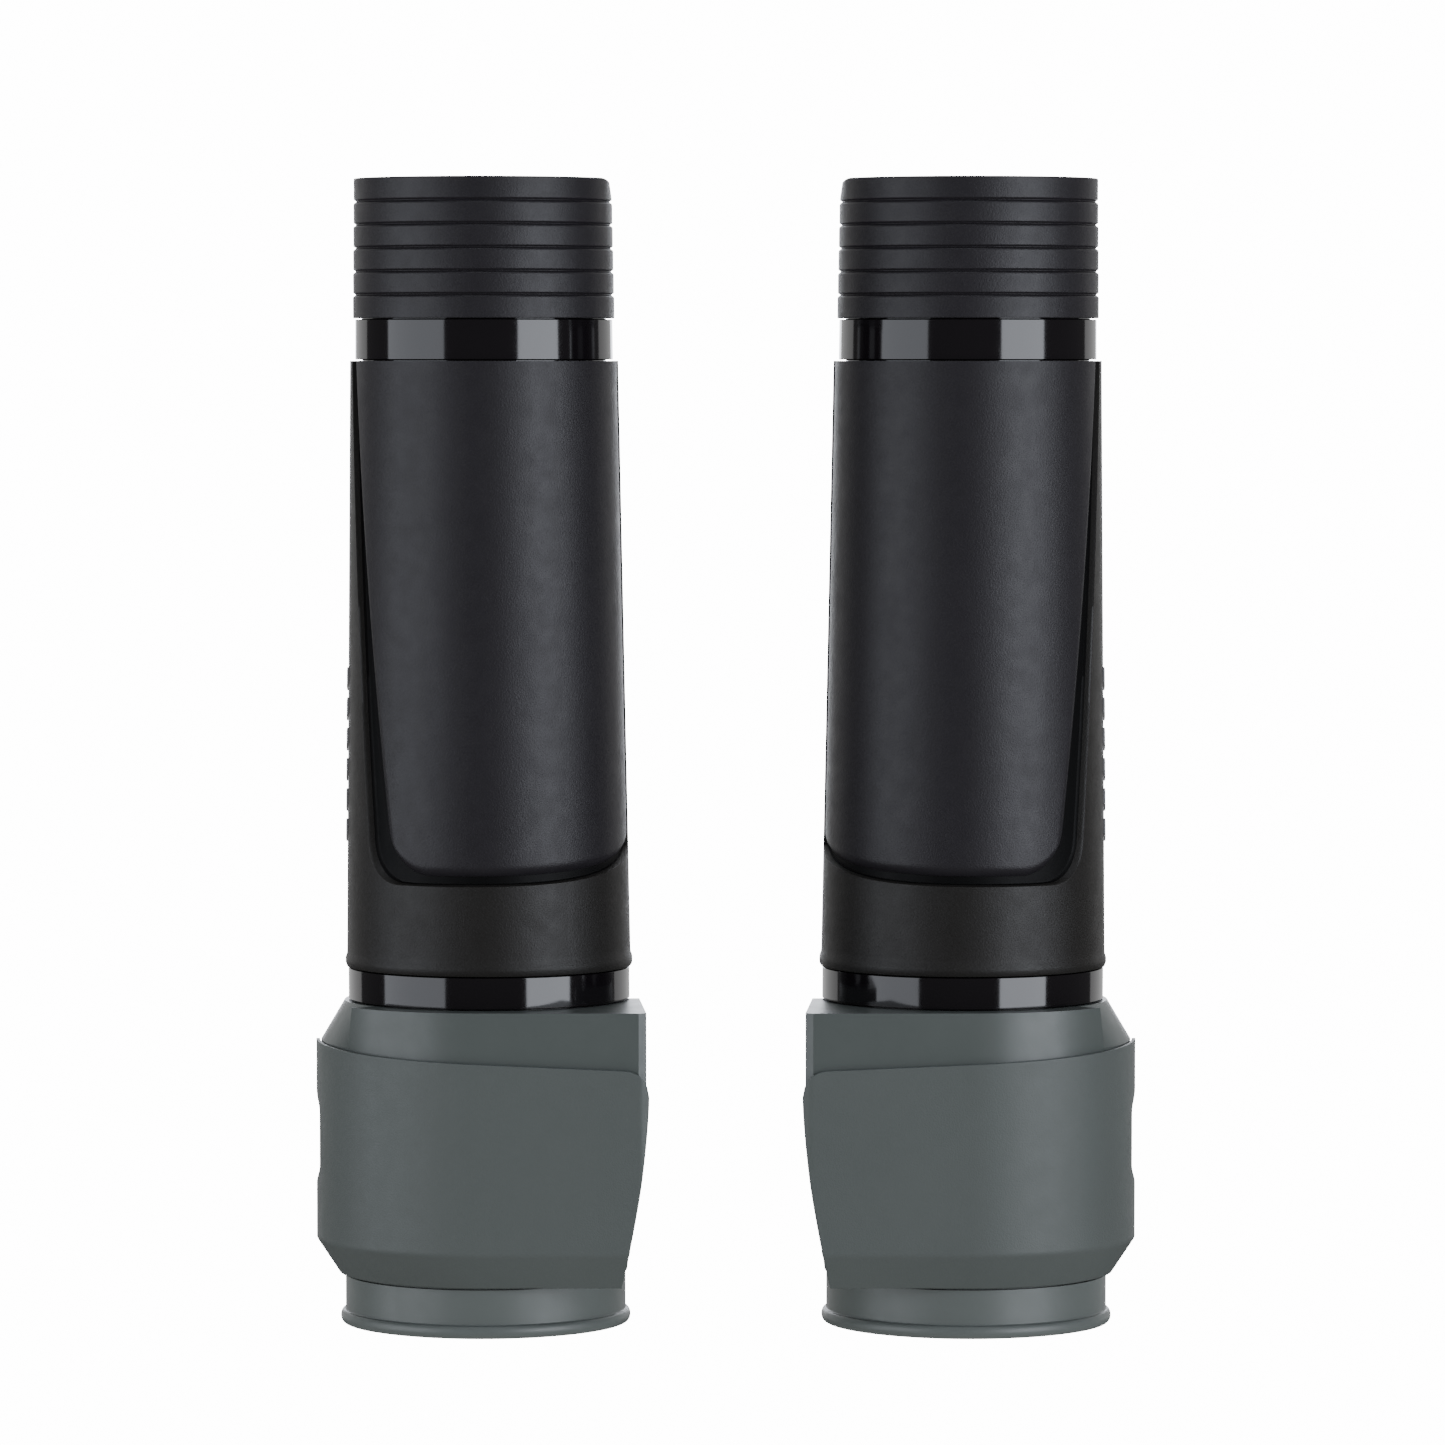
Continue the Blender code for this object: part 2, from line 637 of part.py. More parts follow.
def guard_rear(name):
    """Plain guard of the rear flap, behind the block."""
    profile = [
        (LOWER_BAND_RADIUS, BLOCK_TOP),
        (GUARD_RADIUS, BLOCK_TOP - 0.5 * SHOULDER_DROP),
        (GUARD_RADIUS, BLOCK_BASE + 0.5 * BLOCK_FOOT_CHAMFER),
        (NECK_RADIUS, BLOCK_BASE),
        (LOWER_BORE - GUARD_BORE_MARGIN, BLOCK_BASE),
        (LOWER_BORE - GUARD_BORE_MARGIN, BLOCK_TOP),
    ]
    return rear_half(cut(turned(name, profile), bore_cutter(name + "_bore")))


def wiper_collar(name, half):
    """Bottom collar: a spigot up into the block, a neck and a rounded flange."""
    spigot = LOWER_BORE + SPIGOT_WALL
    profile = [
        (spigot, BLOCK_BASE + COLLAR_SPIGOT_LENGTH),
        (spigot, BLOCK_BASE - GAP),
        (NECK_RADIUS, BLOCK_BASE - GAP),
        (NECK_RADIUS, FLANGE_LENGTH),
        (FLANGE_RADIUS - FLANGE_ROUND, FLANGE_LENGTH),
        (FLANGE_RADIUS, 0.75 * FLANGE_LENGTH),
        (FLANGE_RADIUS, 0.25 * FLANGE_LENGTH),
        (FLANGE_RADIUS - FLANGE_ROUND, 0.0),
        (LOWER_BORE, 0.0),
        (LOWER_BORE, BLOCK_BASE + COLLAR_SPIGOT_LENGTH),
    ]
    return half(turned(name, profile))


def at_hinge(obj):
    """Turn and move a solid drawn about the hinge axis: +X out from the leg, +Y to the rear."""
    place = Matrix.Translation((HINGE_X, HINGE_Y, 0.0)) @ Matrix.Rotation(radians(PARTING_ANGLE), 4, "Z")
    obj.data.transform(place)
    return obj


def knuckle_span(index):
    """Lowest and highest level of one knuckle."""
    pitch = (HINGE_TOP - HINGE_BASE) / KNUCKLE_COUNT
    return HINGE_BASE + index * pitch + 0.5 * GAP, HINGE_BASE + (index + 1) * pitch - 0.5 * GAP


def hinge_leaf(name, side, first):
    """Leaf on the shell with every other knuckle; side is -1 on the front half, +1 on the flap."""
    near = side * 0.5 * GAP
    far = side * LEAF_WIDTH
    low, high = min(near, far), max(near, far)
    strip = [(-LEAF_REACH, low), (-LEAF_FACE, low), (-LEAF_FACE, high), (-LEAF_REACH, high)]
    obj = at_hinge(prism(name, strip, HINGE_BASE, HINGE_TOP))
    for index in range(KNUCKLE_COUNT):
        base, top = knuckle_span(index)
        label = f"{name}_knuckle_{index + 1}"
        if index % 2 == first:
            join(obj, bar(label, KNUCKLE_RADIUS, base, top, HINGE_X, HINGE_Y))
        else:
            clear = KNUCKLE_RADIUS + GAP
            cut(obj, bar(label, clear, base - GAP, top + GAP, HINGE_X, HINGE_Y))
    shell = [
        (shell_radius(BODY_TOP) + GAP, BODY_TOP),
        (shell_radius(BODY_BASE) + GAP, BODY_BASE),
        (LOWER_BORE - LEAF_REACH, BODY_BASE),
        (LOWER_BORE - LEAF_REACH, BODY_TOP),
    ]
    cut(obj, turned(name + "_shell", shell, leaning=True))
    hole = HINGE_PIN_RADIUS + GAP
    return cut(obj, bar(name + "_hole", hole, 0.0, COVER_TOP, HINGE_X, HINGE_Y))


def hinge_pin(name):
    return bar(name, HINGE_PIN_RADIUS, HINGE_BASE - GAP, HINGE_TOP + GAP, HINGE_X, HINGE_Y, sides=12)


def model_cover(side):
    """Every piece of one cover about its own leg axis, as (object, material), front half then flap."""
    front = [
        (inner_sleeve(side + "_inner_sleeve_front", front_half), "gloss_black"),
        (ribbed_collar(side + "_ribbed_collar_front", front_half), "satin_black"),
        (body_shell_front(side + "_body_shell_front"), "grained_black"),
        (front_panel(side + "_front_panel"), "satin_black"),
        (side_badge(side + "_side_badge"), "badge_grey"),
        (glide_block(side + "_glide_block_front"), "slate_grey"),
        (wear_panel(side + "_wear_panel"), "grained_grey"),
        (wiper_collar(side + "_wiper_collar_front", front_half), "slate_grey"),
        (hinge_leaf(side + "_hinge_leaf_front", -1.0, 0), "grained_black"),
        (hinge_pin(side + "_hinge_pin"), "pin_steel"),
    ]
    flap = [
        (inner_sleeve(side + "_inner_sleeve_rear", rear_half), "gloss_black"),
        (ribbed_collar(side + "_ribbed_collar_rear", rear_half), "satin_black"),
        (body_shell_rear(side + "_body_shell_rear"), "grained_black"),
        (guard_rear(side + "_guard_rear"), "slate_grey"),
        (wiper_collar(side + "_wiper_collar_rear", rear_half), "slate_grey"),
        (hinge_leaf(side + "_hinge_leaf_rear", 1.0, 1), "grained_black"),
    ]
    return front, flap


def pivot(name, place, parent=None):
    """An empty that a half cover hangs on."""
    empty = bpy.data.objects.new(name, None)
    PARTS.objects.link(empty)
    empty.location = place
    empty.parent = parent
    return empty


def hang(obj, parent, origin, material):
    """Put a piece on its pivot, with its mesh measured from the pivot's place."""
    obj.data.transform(Matrix.Translation(-Vector(origin)))
    obj.data.materials.clear()
    obj.data.materials.append(material)
    obj.data.shade_smooth()
    obj.data.set_sharp_from_angle(angle=radians(30.0))
    obj.parent = parent


def mirrored(obj, name):
    """The same piece for the left cover."""
    mesh = obj.data.copy()
    mesh.name = name
    mesh.transform(Matrix.Diagonal((-1.0, 1.0, 1.0, 1.0)))
    mesh.flip_normals()
    return make_object(name, mesh, PARTS)


clear_scene()
PARTS = make_collection("fork_covers")
CUTTERS = make_collection("fork_cover_cutters")
LOOKS = {name: make_material(name) for name in MATERIALS}

right_front, right_flap = model_cover("right")
for piece, _ in right_front + right_flap:
    bake(piece)
left_front = [(mirrored(piece, piece.name.replace("right", "left")), look) for piece, look in right_front]
left_flap = [(mirrored(piece, piece.name.replace("right", "left")), look) for piece, look in right_flap]

COVERS = (("right", 1.0, right_front, right_flap), ("left", -1.0, left_front, left_flap))
for label, sign, front, flap in COVERS:
    cover = pivot(label + "_cover", (sign * 0.5 * COVER_SPACING, LEG_Y, 0.0))
    hinge = pivot(label + "_flap_hinge", (sign * HINGE_X, HINGE_Y, 0.0), cover)
    for piece, look in front:
        hang(piece, cover, (0.0, 0.0, 0.0), LOOKS[look])
    for piece, look in flap:
        hang(piece, hinge, (sign * HINGE_X, HINGE_Y, 0.0), LOOKS[look])
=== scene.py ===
"""A pair of wrap-around fork tube covers, left and right, modelled layer by layer."""
from math import atan2, cos, degrees, pi, radians, sin, sqrt

import bpy
from mathutils import Matrix, Vector


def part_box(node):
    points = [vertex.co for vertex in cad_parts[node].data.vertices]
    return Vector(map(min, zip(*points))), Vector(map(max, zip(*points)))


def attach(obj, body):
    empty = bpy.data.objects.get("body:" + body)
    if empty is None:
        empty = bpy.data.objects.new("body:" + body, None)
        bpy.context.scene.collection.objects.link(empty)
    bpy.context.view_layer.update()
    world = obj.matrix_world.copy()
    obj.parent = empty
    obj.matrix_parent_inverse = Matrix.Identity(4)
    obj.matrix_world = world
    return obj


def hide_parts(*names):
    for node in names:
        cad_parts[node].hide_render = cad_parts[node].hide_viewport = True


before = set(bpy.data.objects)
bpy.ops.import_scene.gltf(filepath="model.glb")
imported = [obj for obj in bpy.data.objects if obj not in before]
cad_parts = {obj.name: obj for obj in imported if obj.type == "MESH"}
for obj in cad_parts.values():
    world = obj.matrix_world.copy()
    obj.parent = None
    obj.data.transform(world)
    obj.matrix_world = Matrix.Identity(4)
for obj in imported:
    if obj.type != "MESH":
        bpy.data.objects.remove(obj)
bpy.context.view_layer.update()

# ---- inner sleeves
# A gloss black tube in two halves that everything else is fixed to. Two proud bands show between
# the outer pieces. The rest is a neck inside the ribbed collar, a waist hidden under the shell and a
# spigot down into the block. The front half ends in a tongue that laps under the flap.
foot_low, foot_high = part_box("right_wiper_collar_front")
LEG_X = 0.5 * (foot_low[0] + foot_high[0])
FLANGE_RADIUS = 0.5 * (foot_high[0] - foot_low[0])
LEG_Y = foot_low[1] + FLANGE_RADIUS
BLOCK_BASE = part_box("right_guard_rear")[0][2]
BLOCK_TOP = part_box("right_guard_rear")[1][2]
BODY_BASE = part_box("right_body_shell_rear")[0][2]
BODY_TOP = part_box("right_body_shell_rear")[1][2]
RIB_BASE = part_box("right_ribbed_collar_rear")[0][2]
COVER_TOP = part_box("right_ribbed_collar_rear")[1][2]
PARTING = -38.0                 # degrees, from the outer side round over the front
INNER_SIDE = 180.0
HALF_GAP = 0.6                  # degrees left open between the halves at each parting
LAP = 6.0
REAR_START = INNER_SIDE + HALF_GAP
REAR_END = 360.0 + PARTING - HALF_GAP
GAP = 0.0003
LEAN = 0.0063                   # shift towards the other cover, per metre down
BORE = 0.0305
BODY_TOP_RADIUS = 0.0316
BODY_BASE_RADIUS = 0.0336
SHELL_WALL = 0.0026
UPPER_BAND_RADIUS = 0.0303
LOWER_BAND_RADIUS = 0.03325
BAND_FLARE = 0.00008
SLEEVE_NECK = 0.0288
SLEEVE_WALL = 0.0015
SLEEVE_TOP = COVER_TOP - 0.0017
SPIGOT_DEPTH = 0.008
SHARP_ANGLE = 50.0


def shell_radius(height):
    """The body tapers evenly from its base up to its top."""
    share = (height - BODY_BASE) / (BODY_TOP - BODY_BASE)
    return BODY_BASE_RADIUS + share * (BODY_TOP_RADIUS - BODY_BASE_RADIUS)


def around(radius, angle, height):
    """Point at an angle from the cover's outer side, round over its front."""
    return Vector((radius * cos(radians(angle)), -radius * sin(radians(angle)), height))


def turned_half(name, profile, start, end, steps=110):
    """Spin a closed profile of (radius, height) part of a turn and close its two ends."""
    bpy.ops.object.select_all(action="DESELECT")
    bpy.ops.mesh.primitive_circle_add(vertices=len(profile), radius=0.01, fill_type="NGON")
    piece = bpy.context.object
    piece.name = name
    for vert, (radius, height) in zip(piece.data.vertices, profile):
        vert.co = around(radius, start, height)
    bpy.ops.object.mode_set(mode="EDIT")
    bpy.ops.mesh.select_all(action="SELECT")
    bpy.ops.mesh.spin(steps=steps, angle=radians(end - start), center=(0.0, 0.0, 0.0),
                      axis=(0.0, 0.0, 1.0))
    bpy.ops.mesh.select_all(action="SELECT")
    bpy.ops.mesh.remove_doubles(threshold=0.000001)
    bpy.ops.mesh.select_all(action="DESELECT")
    bpy.ops.mesh.select_non_manifold(extend=False)
    bpy.ops.mesh.edge_face_add()
    bpy.ops.mesh.select_all(action="SELECT")
    bpy.ops.mesh.normals_make_consistent(inside=False)
    bpy.ops.object.mode_set(mode="OBJECT")
    return piece


def round_edges(piece, width, segments=3, angle=32.0):
    """Round every edge that is sharper than the angle."""
    bevel = piece.modifiers.new("Edges", "BEVEL")
    bevel.width = width
    bevel.segments = segments
    bevel.limit_method = "ANGLE"
    bevel.angle_limit = radians(angle)
    bevel.harden_normals = False
    bpy.ops.object.modifier_apply(modifier=bevel.name)


def lean_in(piece):
    """Lean a piece of the upper cover towards the other leg."""
    shear = Matrix.Identity(4)
    shear[0][2] = LEAN
    shear[0][3] = -LEAN * BODY_TOP
    piece.data.transform(shear)


def fit(piece, material, right_body, node, shaded=None):
    """Put the piece on the right leg, finish it, and make its mirror image for the left leg.

    Faces marked with material index 1 take the shaded material, where one is given."""
    piece.data.transform(Matrix.Translation((LEG_X, LEG_Y, 0.0)))
    piece.data.shade_smooth()
    piece.data.set_sharp_from_angle(angle=radians(SHARP_ANGLE))
    marks = [face.material_index for face in piece.data.polygons]
    piece.data.materials.clear()
    piece.data.materials.append(material)
    if shaded is not None:
        piece.data.materials.append(shaded)
    for face, mark in zip(piece.data.polygons, marks):
        face.material_index = mark if shaded is not None else 0
    twin = piece.copy()
    twin.data = piece.data.copy()
    twin.data.transform(Matrix.Diagonal((-1.0, 1.0, 1.0, 1.0)))
    twin.data.flip_normals()
    bpy.context.collection.objects.link(twin)
    piece.name = "right_" + node + "_moulded"
    twin.name = "left_" + node + "_moulded"
    for cover, side in ((piece, "right"), (twin, "left")):
        even = cover.modifiers.new("Even shading", "WEIGHTED_NORMAL")
        even.keep_sharp = True
        bpy.ops.object.select_all(action="DESELECT")
        bpy.context.view_layer.objects.active = cover
        cover.select_set(True)
        bpy.ops.object.modifier_apply(modifier=even.name)
        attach(cover, right_body.replace("right", side))
        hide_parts(side + "_" + node)


GRAIN_SIZE = 2600.0             # etched pits per metre
GRAIN_DEPTH = 0.00006
FLOW_DEPTH = 0.0002


def moulded_plastic(name, colour, roughness, grain=0.0, mottle=0.12, spread=0.06, shine=0.5):
    """Injection moulded plastic: slight mottling, uneven gloss, flow waviness and an etched grain."""
    material = bpy.data.materials.new(name)
    material.use_nodes = True
    nodes = material.node_tree.nodes
    link = material.node_tree.links.new
    shader = nodes["Principled BSDF"]
    place = nodes.new("ShaderNodeTexCoord")

    flow = nodes.new("ShaderNodeTexNoise")
    flow.inputs["Scale"].default_value = 38.0
    flow.inputs["Detail"].default_value = 3.0
    link(place.outputs["Object"], flow.inputs["Vector"])
    tint = nodes.new("ShaderNodeMix")
    tint.data_type = "RGBA"
    tint.inputs[6].default_value = (*[channel * (1.0 - mottle) for channel in colour], 1.0)
    tint.inputs[7].default_value = (*[channel * (1.0 + mottle) for channel in colour], 1.0)
    link(flow.outputs["Fac"], tint.inputs["Factor"])
    link(tint.outputs[2], shader.inputs["Base Color"])

    haze = nodes.new("ShaderNodeTexNoise")
    haze.inputs["Scale"].default_value = 240.0
    haze.inputs["Detail"].default_value = 4.0
    link(place.outputs["Object"], haze.inputs["Vector"])
    gloss = nodes.new("ShaderNodeMapRange")
    gloss.inputs["From Min"].default_value = 0.3
    gloss.inputs["From Max"].default_value = 0.7
    gloss.inputs["To Min"].default_value = roughness - spread * 0.5
    gloss.inputs["To Max"].default_value = roughness + spread * 0.5
    link(haze.outputs["Fac"], gloss.inputs["Value"])
    link(gloss.outputs["Result"], shader.inputs["Roughness"])

    sag = nodes.new("ShaderNodeBump")
    sag.inputs["Strength"].default_value = 0.12
    sag.inputs["Distance"].default_value = FLOW_DEPTH
    link(flow.outputs["Fac"], sag.inputs["Height"])
    last = sag
    if grain > 0.0:
        pits = nodes.new("ShaderNodeTexVoronoi")
        pits.feature = "SMOOTH_F1"
        pits.inputs["Scale"].default_value = GRAIN_SIZE
        pits.inputs["Smoothness"].default_value = 0.6
        link(place.outputs["Object"], pits.inputs["Vector"])
        fine = nodes.new("ShaderNodeTexNoise")
        fine.inputs["Scale"].default_value = GRAIN_SIZE * 1.7
        fine.inputs["Detail"].default_value = 2.0
        link(place.outputs["Object"], fine.inputs["Vector"])
        blend = nodes.new("ShaderNodeMath")
        blend.operation = "ADD"
        link(pits.outputs["Distance"], blend.inputs[0])
        link(fine.outputs["Fac"], blend.inputs[1])
        etched = nodes.new("ShaderNodeBump")
        etched.inputs["Strength"].default_value = grain
        etched.inputs["Distance"].default_value = GRAIN_DEPTH
        link(blend.outputs["Value"], etched.inputs["Height"])
        link(sag.outputs["Normal"], etched.inputs["Normal"])
        last = etched
    link(last.outputs["Normal"], shader.inputs["Normal"])
    shader.inputs["IOR"].default_value = 1.49
    shader.inputs["Specular IOR Level"].default_value = shine
    return material


gloss_black = moulded_plastic("gloss_black_polypropylene", (0.0055, 0.0045, 0.0055), 0.09,
                              spread=0.02)

waist_top = shell_radius(BODY_TOP) - SHELL_WALL - GAP
waist_base = shell_radius(BODY_BASE) - SHELL_WALL - GAP
sleeve_profile = [
    (SLEEVE_NECK, SLEEVE_TOP),
    (SLEEVE_NECK, RIB_BASE - GAP),
    (UPPER_BAND_RADIUS, RIB_BASE - GAP),
    (UPPER_BAND_RADIUS + BAND_FLARE, BODY_TOP + GAP),
    (waist_top, BODY_TOP + GAP),
    (waist_base, BODY_BASE - GAP),
    (LOWER_BAND_RADIUS, BODY_BASE - GAP),
    (LOWER_BAND_RADIUS, BLOCK_TOP + GAP),
    (BORE + SLEEVE_WALL, BLOCK_TOP + GAP),
    (BORE + SLEEVE_WALL, BLOCK_TOP - SPIGOT_DEPTH),
    (BORE, BLOCK_TOP - SPIGOT_DEPTH),
    (BORE, BLOCK_TOP),
    (waist_base - SLEEVE_WALL, BODY_BASE),
    (waist_top - SLEEVE_WALL, BODY_TOP),
    (waist_top - SLEEVE_WALL, SLEEVE_TOP),
]
SLEEVE_HALVES = (("front_halves", "inner_sleeve_front", PARTING, INNER_SIDE + LAP),
                 ("right_flap", "inner_sleeve_rear", INNER_SIDE + LAP + HALF_GAP, REAR_END))
for body, node, start, end in SLEEVE_HALVES:
    sleeve = turned_half(node, sleeve_profile, start, end)
    round_edges(sleeve, 0.00018, 2)
    lean_in(sleeve)
    fit(sleeve, gloss_black, body, node)

# ---- ribbed collars
# Satin black caps over the sleeve's neck. Six soft-shouldered bands stand between narrow grooves,
# and a lip turned in at the top covers the sleeve's end.
satin_black = moulded_plastic("satin_black_grained", (0.0105, 0.0093, 0.0118), 0.47, grain=0.55,
                              shine=0.38)

RIB_COUNT = 6
RIB_RADIUS = 0.03035            # at the top, growing by RIB_FLARE down to the bottom
RIB_FLARE = 0.0005
GROOVE_HALF = 0.00042
GROOVE_DEPTH = 0.00058
GROOVE_FLOOR = 0.0001
CROWN_BACK = 0.00010            # each band's upper edge, softened by this much in and down
CROWN_DROP = 0.0004
SOLE_BACK = 0.00006             # and its lower edge
SOLE_RISE = 0.0002
RIB_BORE = 0.0291
LIP_BORE = 0.0272
LIP_HEIGHT = 0.0014
CORNER_RADIUS = 0.0304
CORNER_ROUND = 0.0024           # the top edge rounds over at the inner side only
rib_pitch = (COVER_TOP - RIB_BASE) / RIB_COUNT
rib_profile = []
for rib in range(RIB_COUNT):
    high = COVER_TOP - rib * rib_pitch
    low = high - rib_pitch
    radius = RIB_RADIUS + (rib + 0.5) * RIB_FLARE / RIB_COUNT
    crown = 0.0 if rib == 0 else GROOVE_HALF
    sole = 0.0 if rib == RIB_COUNT - 1 else GROOVE_HALF
    if rib > 0:
        rib_profile.append((radius - GROOVE_DEPTH, high - GROOVE_FLOOR))
    rib_profile += [(radius - CROWN_BACK, high - crown), (radius, high - crown - CROWN_DROP)]
    rib_profile += [(radius, low + sole + SOLE_RISE), (radius - SOLE_BACK, low + sole)]
    if rib < RIB_COUNT - 1:
        rib_profile.append((radius - GROOVE_DEPTH, low + GROOVE_FLOOR))
rib_profile += [(RIB_BORE, RIB_BASE), (RIB_BORE, COVER_TOP - LIP_HEIGHT),
                (LIP_BORE, COVER_TOP - LIP_HEIGHT), (LIP_BORE, COVER_TOP)]
HALVES = (("front_halves", "front", PARTING, INNER_SIDE),
          ("right_flap", "rear", REAR_START, REAR_END))
for body, half, start, end in HALVES:
    ribs = turned_half("ribs_" + half, rib_profile, start, end)
    round_edges(ribs, 0.0002, 2)
    for vert in ribs.data.vertices:
        inward = -vert.co.x - (CORNER_RADIUS - CORNER_ROUND)
        upward = vert.co.z - (COVER_TOP - CORNER_ROUND)
        if inward > 0.0 and upward > 0.0:
            over = sqrt(inward ** 2 + upward ** 2)
            if over > CORNER_ROUND:
                vert.co.z -= upward * (1.0 - CORNER_ROUND / over)
                vert.co.x += inward * (1.0 - CORNER_ROUND / over)
    lean_in(ribs)
    fit(ribs, satin_black, body, "ribbed_collar_" + half)

# ---- rear shells
# The flap's plain half of the body, in fine grained black with a bead round its bottom end.
grained_black = moulded_plastic("grained_black_shell", (0.0080, 0.0072, 0.0064), 0.50, grain=0.55,
                                shine=0.36)

BEAD = 0.0030
BEAD_RISE = 0.00042
BEAD_STEPS = 8
above_bead = BODY_BASE + BEAD * 1.3
shell_profile = [(shell_radius(BODY_TOP), BODY_TOP), (shell_radius(above_bead), above_bead)]
for step in range(BEAD_STEPS + 1):
    turn = pi * step / BEAD_STEPS
    height = BODY_BASE + 0.5 * BEAD + 0.5 * BEAD * cos(turn)
    shell_profile.append((shell_radius(height) + BEAD_RISE * sin(turn), height))
shell_profile += [(shell_radius(BODY_BASE) - SHELL_WALL, BODY_BASE),
                  (shell_radius(BODY_TOP) - SHELL_WALL, BODY_TOP)]
rear_shell = turned_half("rear_shell", shell_profile, REAR_START, REAR_END)
round_edges(rear_shell, 0.0004)
lean_in(rear_shell)
fit(rear_shell, grained_black, "right_flap", "body_shell_rear")

# ---- front shells
# The frame of the front half: a side strip, a belt and the bead, round a recess for the inset panel.
# Its edge rolls over into a short wall down to the recess's floor, which is wide at the foot, narrow
# at the top, and painted a deeper, duller black than the frame as painted shade in the recess.
# Painted shade: the recess floor gets a darker, less shiny black than the frame, standing in for the shade
# that falls into the recess.
recess_painted_shade = moulded_plastic("recess_floor_painted_shade", (0.0022, 0.0022, 0.0024), 0.55, shine=0.12)
RECESS_FOOT = BODY_BASE + 0.0208
RECESS_BASE_ANGLE = 36.5
RECESS_SWEEP = 23.0             # the edge leans this many degrees further out at its top
RECESS_CORNER = 0.0110
RECESS_RISE = 0.0075            # the foot climbs this much towards the inner side
RECESS_DEPTH = 0.0018
FOOT_RADIUS = 0.0334            # the body's radius at the recess's foot
SKIN_WALL = 0.0008
FRAME_COLUMNS = 260
FRAME_ROWS = 54
FRAME_CROWDING = 1.8            # draws the rows together towards the recess's edge
SIDE_SHARE = 0.60               # share of the columns that end on the parting, the rest on the bead
FLOOR_SHARE = 0.30              # share of the rows inside the recess's edge
WALL_SHARE = 0.22               # share of those that come down the wall
FLOOR_TOP_WIDTH = 0.0013
FLOOR_BASE_WIDTH = 0.0074
FLOOR_FOOT_WIDTH = 0.0032


def recess_edge(travel, foot, top_shift, base_shift):
    """Point (angle, height) on a recess outline: down the side, round the corner, along the foot."""
    side_length = BODY_TOP - foot - RECESS_CORNER
    corner_length = 0.5 * pi * RECESS_CORNER
    start_angle = RECESS_BASE_ANGLE + degrees(base_shift / FOOT_RADIUS)
    foot_length = radians(INNER_SIDE - start_angle) * FOOT_RADIUS - RECESS_CORNER
    length = travel * (side_length + corner_length + foot_length)
    height = max(BODY_TOP - length, foot + RECESS_CORNER)
    share = (height - foot) / (BODY_TOP - foot)
    drift = base_shift + share * (top_shift - base_shift)
    if length < side_length:
        return RECESS_BASE_ANGLE - RECESS_SWEEP * share + degrees(drift / shell_radius(height)), height
    side_angle = RECESS_BASE_ANGLE - RECESS_SWEEP * share + degrees(drift / FOOT_RADIUS)
    if length < side_length + corner_length:
        turn = (length - side_length) / RECESS_CORNER
        arc = RECESS_CORNER * (1.0 - cos(turn))
        return side_angle + degrees(arc / FOOT_RADIUS), foot + RECESS_CORNER * (1.0 - sin(turn))
    along = (length - side_length - corner_length) / foot_length
    corner_angle = side_angle + degrees(RECESS_CORNER / FOOT_RADIUS)
    return corner_angle + along * (INNER_SIDE - corner_angle), foot + RECESS_RISE * along ** 4


def bead_rise(height):
    """How far the bead stands out of the shell at a height."""
    lift = (height - BODY_BASE) / BEAD
    return BEAD_RISE * sin(pi * lift) if 0.0 <= lift <= 1.0 else 0.0


def frame_surface(across, up):
    """From the shell's outer boundary (up 0) in to the recess's edge, then down its wall."""
    edge_angle, edge_height = recess_edge(across, RECESS_FOOT, 0.0, 0.0)
    if up < 1.0 - FLOOR_SHARE:
        bound_angle, bound_height = PARTING, BODY_TOP + (BODY_BASE - BODY_TOP) * across / SIDE_SHARE
        if across >= SIDE_SHARE:
            along = (across - SIDE_SHARE) / (1.0 - SIDE_SHARE)
            bound_angle, bound_height = PARTING + along * (INNER_SIDE - PARTING), BODY_BASE
        share = 1.0 - (1.0 - up / (1.0 - FLOOR_SHARE)) ** FRAME_CROWDING
        angle = bound_angle + share * (edge_angle - bound_angle)
        height = bound_height + share * (edge_height - bound_height)
        return around(shell_radius(height) + bead_rise(height), angle, height)
    share = (up - 1.0 + FLOOR_SHARE) / FLOOR_SHARE
    deep_angle, deep_height = recess_edge(across, RECESS_FOOT + FLOOR_FOOT_WIDTH, FLOOR_TOP_WIDTH,
                                          FLOOR_BASE_WIDTH)
    angle = edge_angle + share * (deep_angle - edge_angle)
    height = edge_height + share * (deep_height - edge_height)
    drop = min(1.0, share / WALL_SHARE)
    return around(shell_radius(height) - RECESS_DEPTH * drop * drop * (3.0 - 2.0 * drop), angle, height)


def skin(name, columns, rows, surface, wall):
    """A grid laid on surface(across, up), given a wall on its inner side."""
    bpy.ops.object.select_all(action="DESELECT")
    bpy.ops.mesh.primitive_grid_add(x_subdivisions=columns, y_subdivisions=rows, size=1.0)
    piece = bpy.context.object
    piece.name = name
    for vert in piece.data.vertices:
        vert.co = surface(vert.co.x + 0.5, vert.co.y + 0.5)
    piece.data.update()
    piece.data.flip_normals()
    thick = piece.modifiers.new("Wall", "SOLIDIFY")
    thick.thickness = wall
    thick.offset = -1.0
    thick.use_even_offset = False
    bpy.ops.object.modifier_apply(modifier=thick.name)
    return piece


front_shell = skin("front_shell", FRAME_COLUMNS, FRAME_ROWS, frame_surface, SKIN_WALL)
# Faces sunk deep into the recess take the painted shade material.
for face in front_shell.data.polygons:
    depth = shell_radius(face.center.z) - sqrt(face.center.x ** 2 + face.center.y ** 2)
    face.material_index = 1 if depth > 0.6 * RECESS_DEPTH else 0
lean_in(front_shell)
fit(front_shell, grained_black, "front_halves", "body_shell_front",
    shaded=recess_painted_shade)

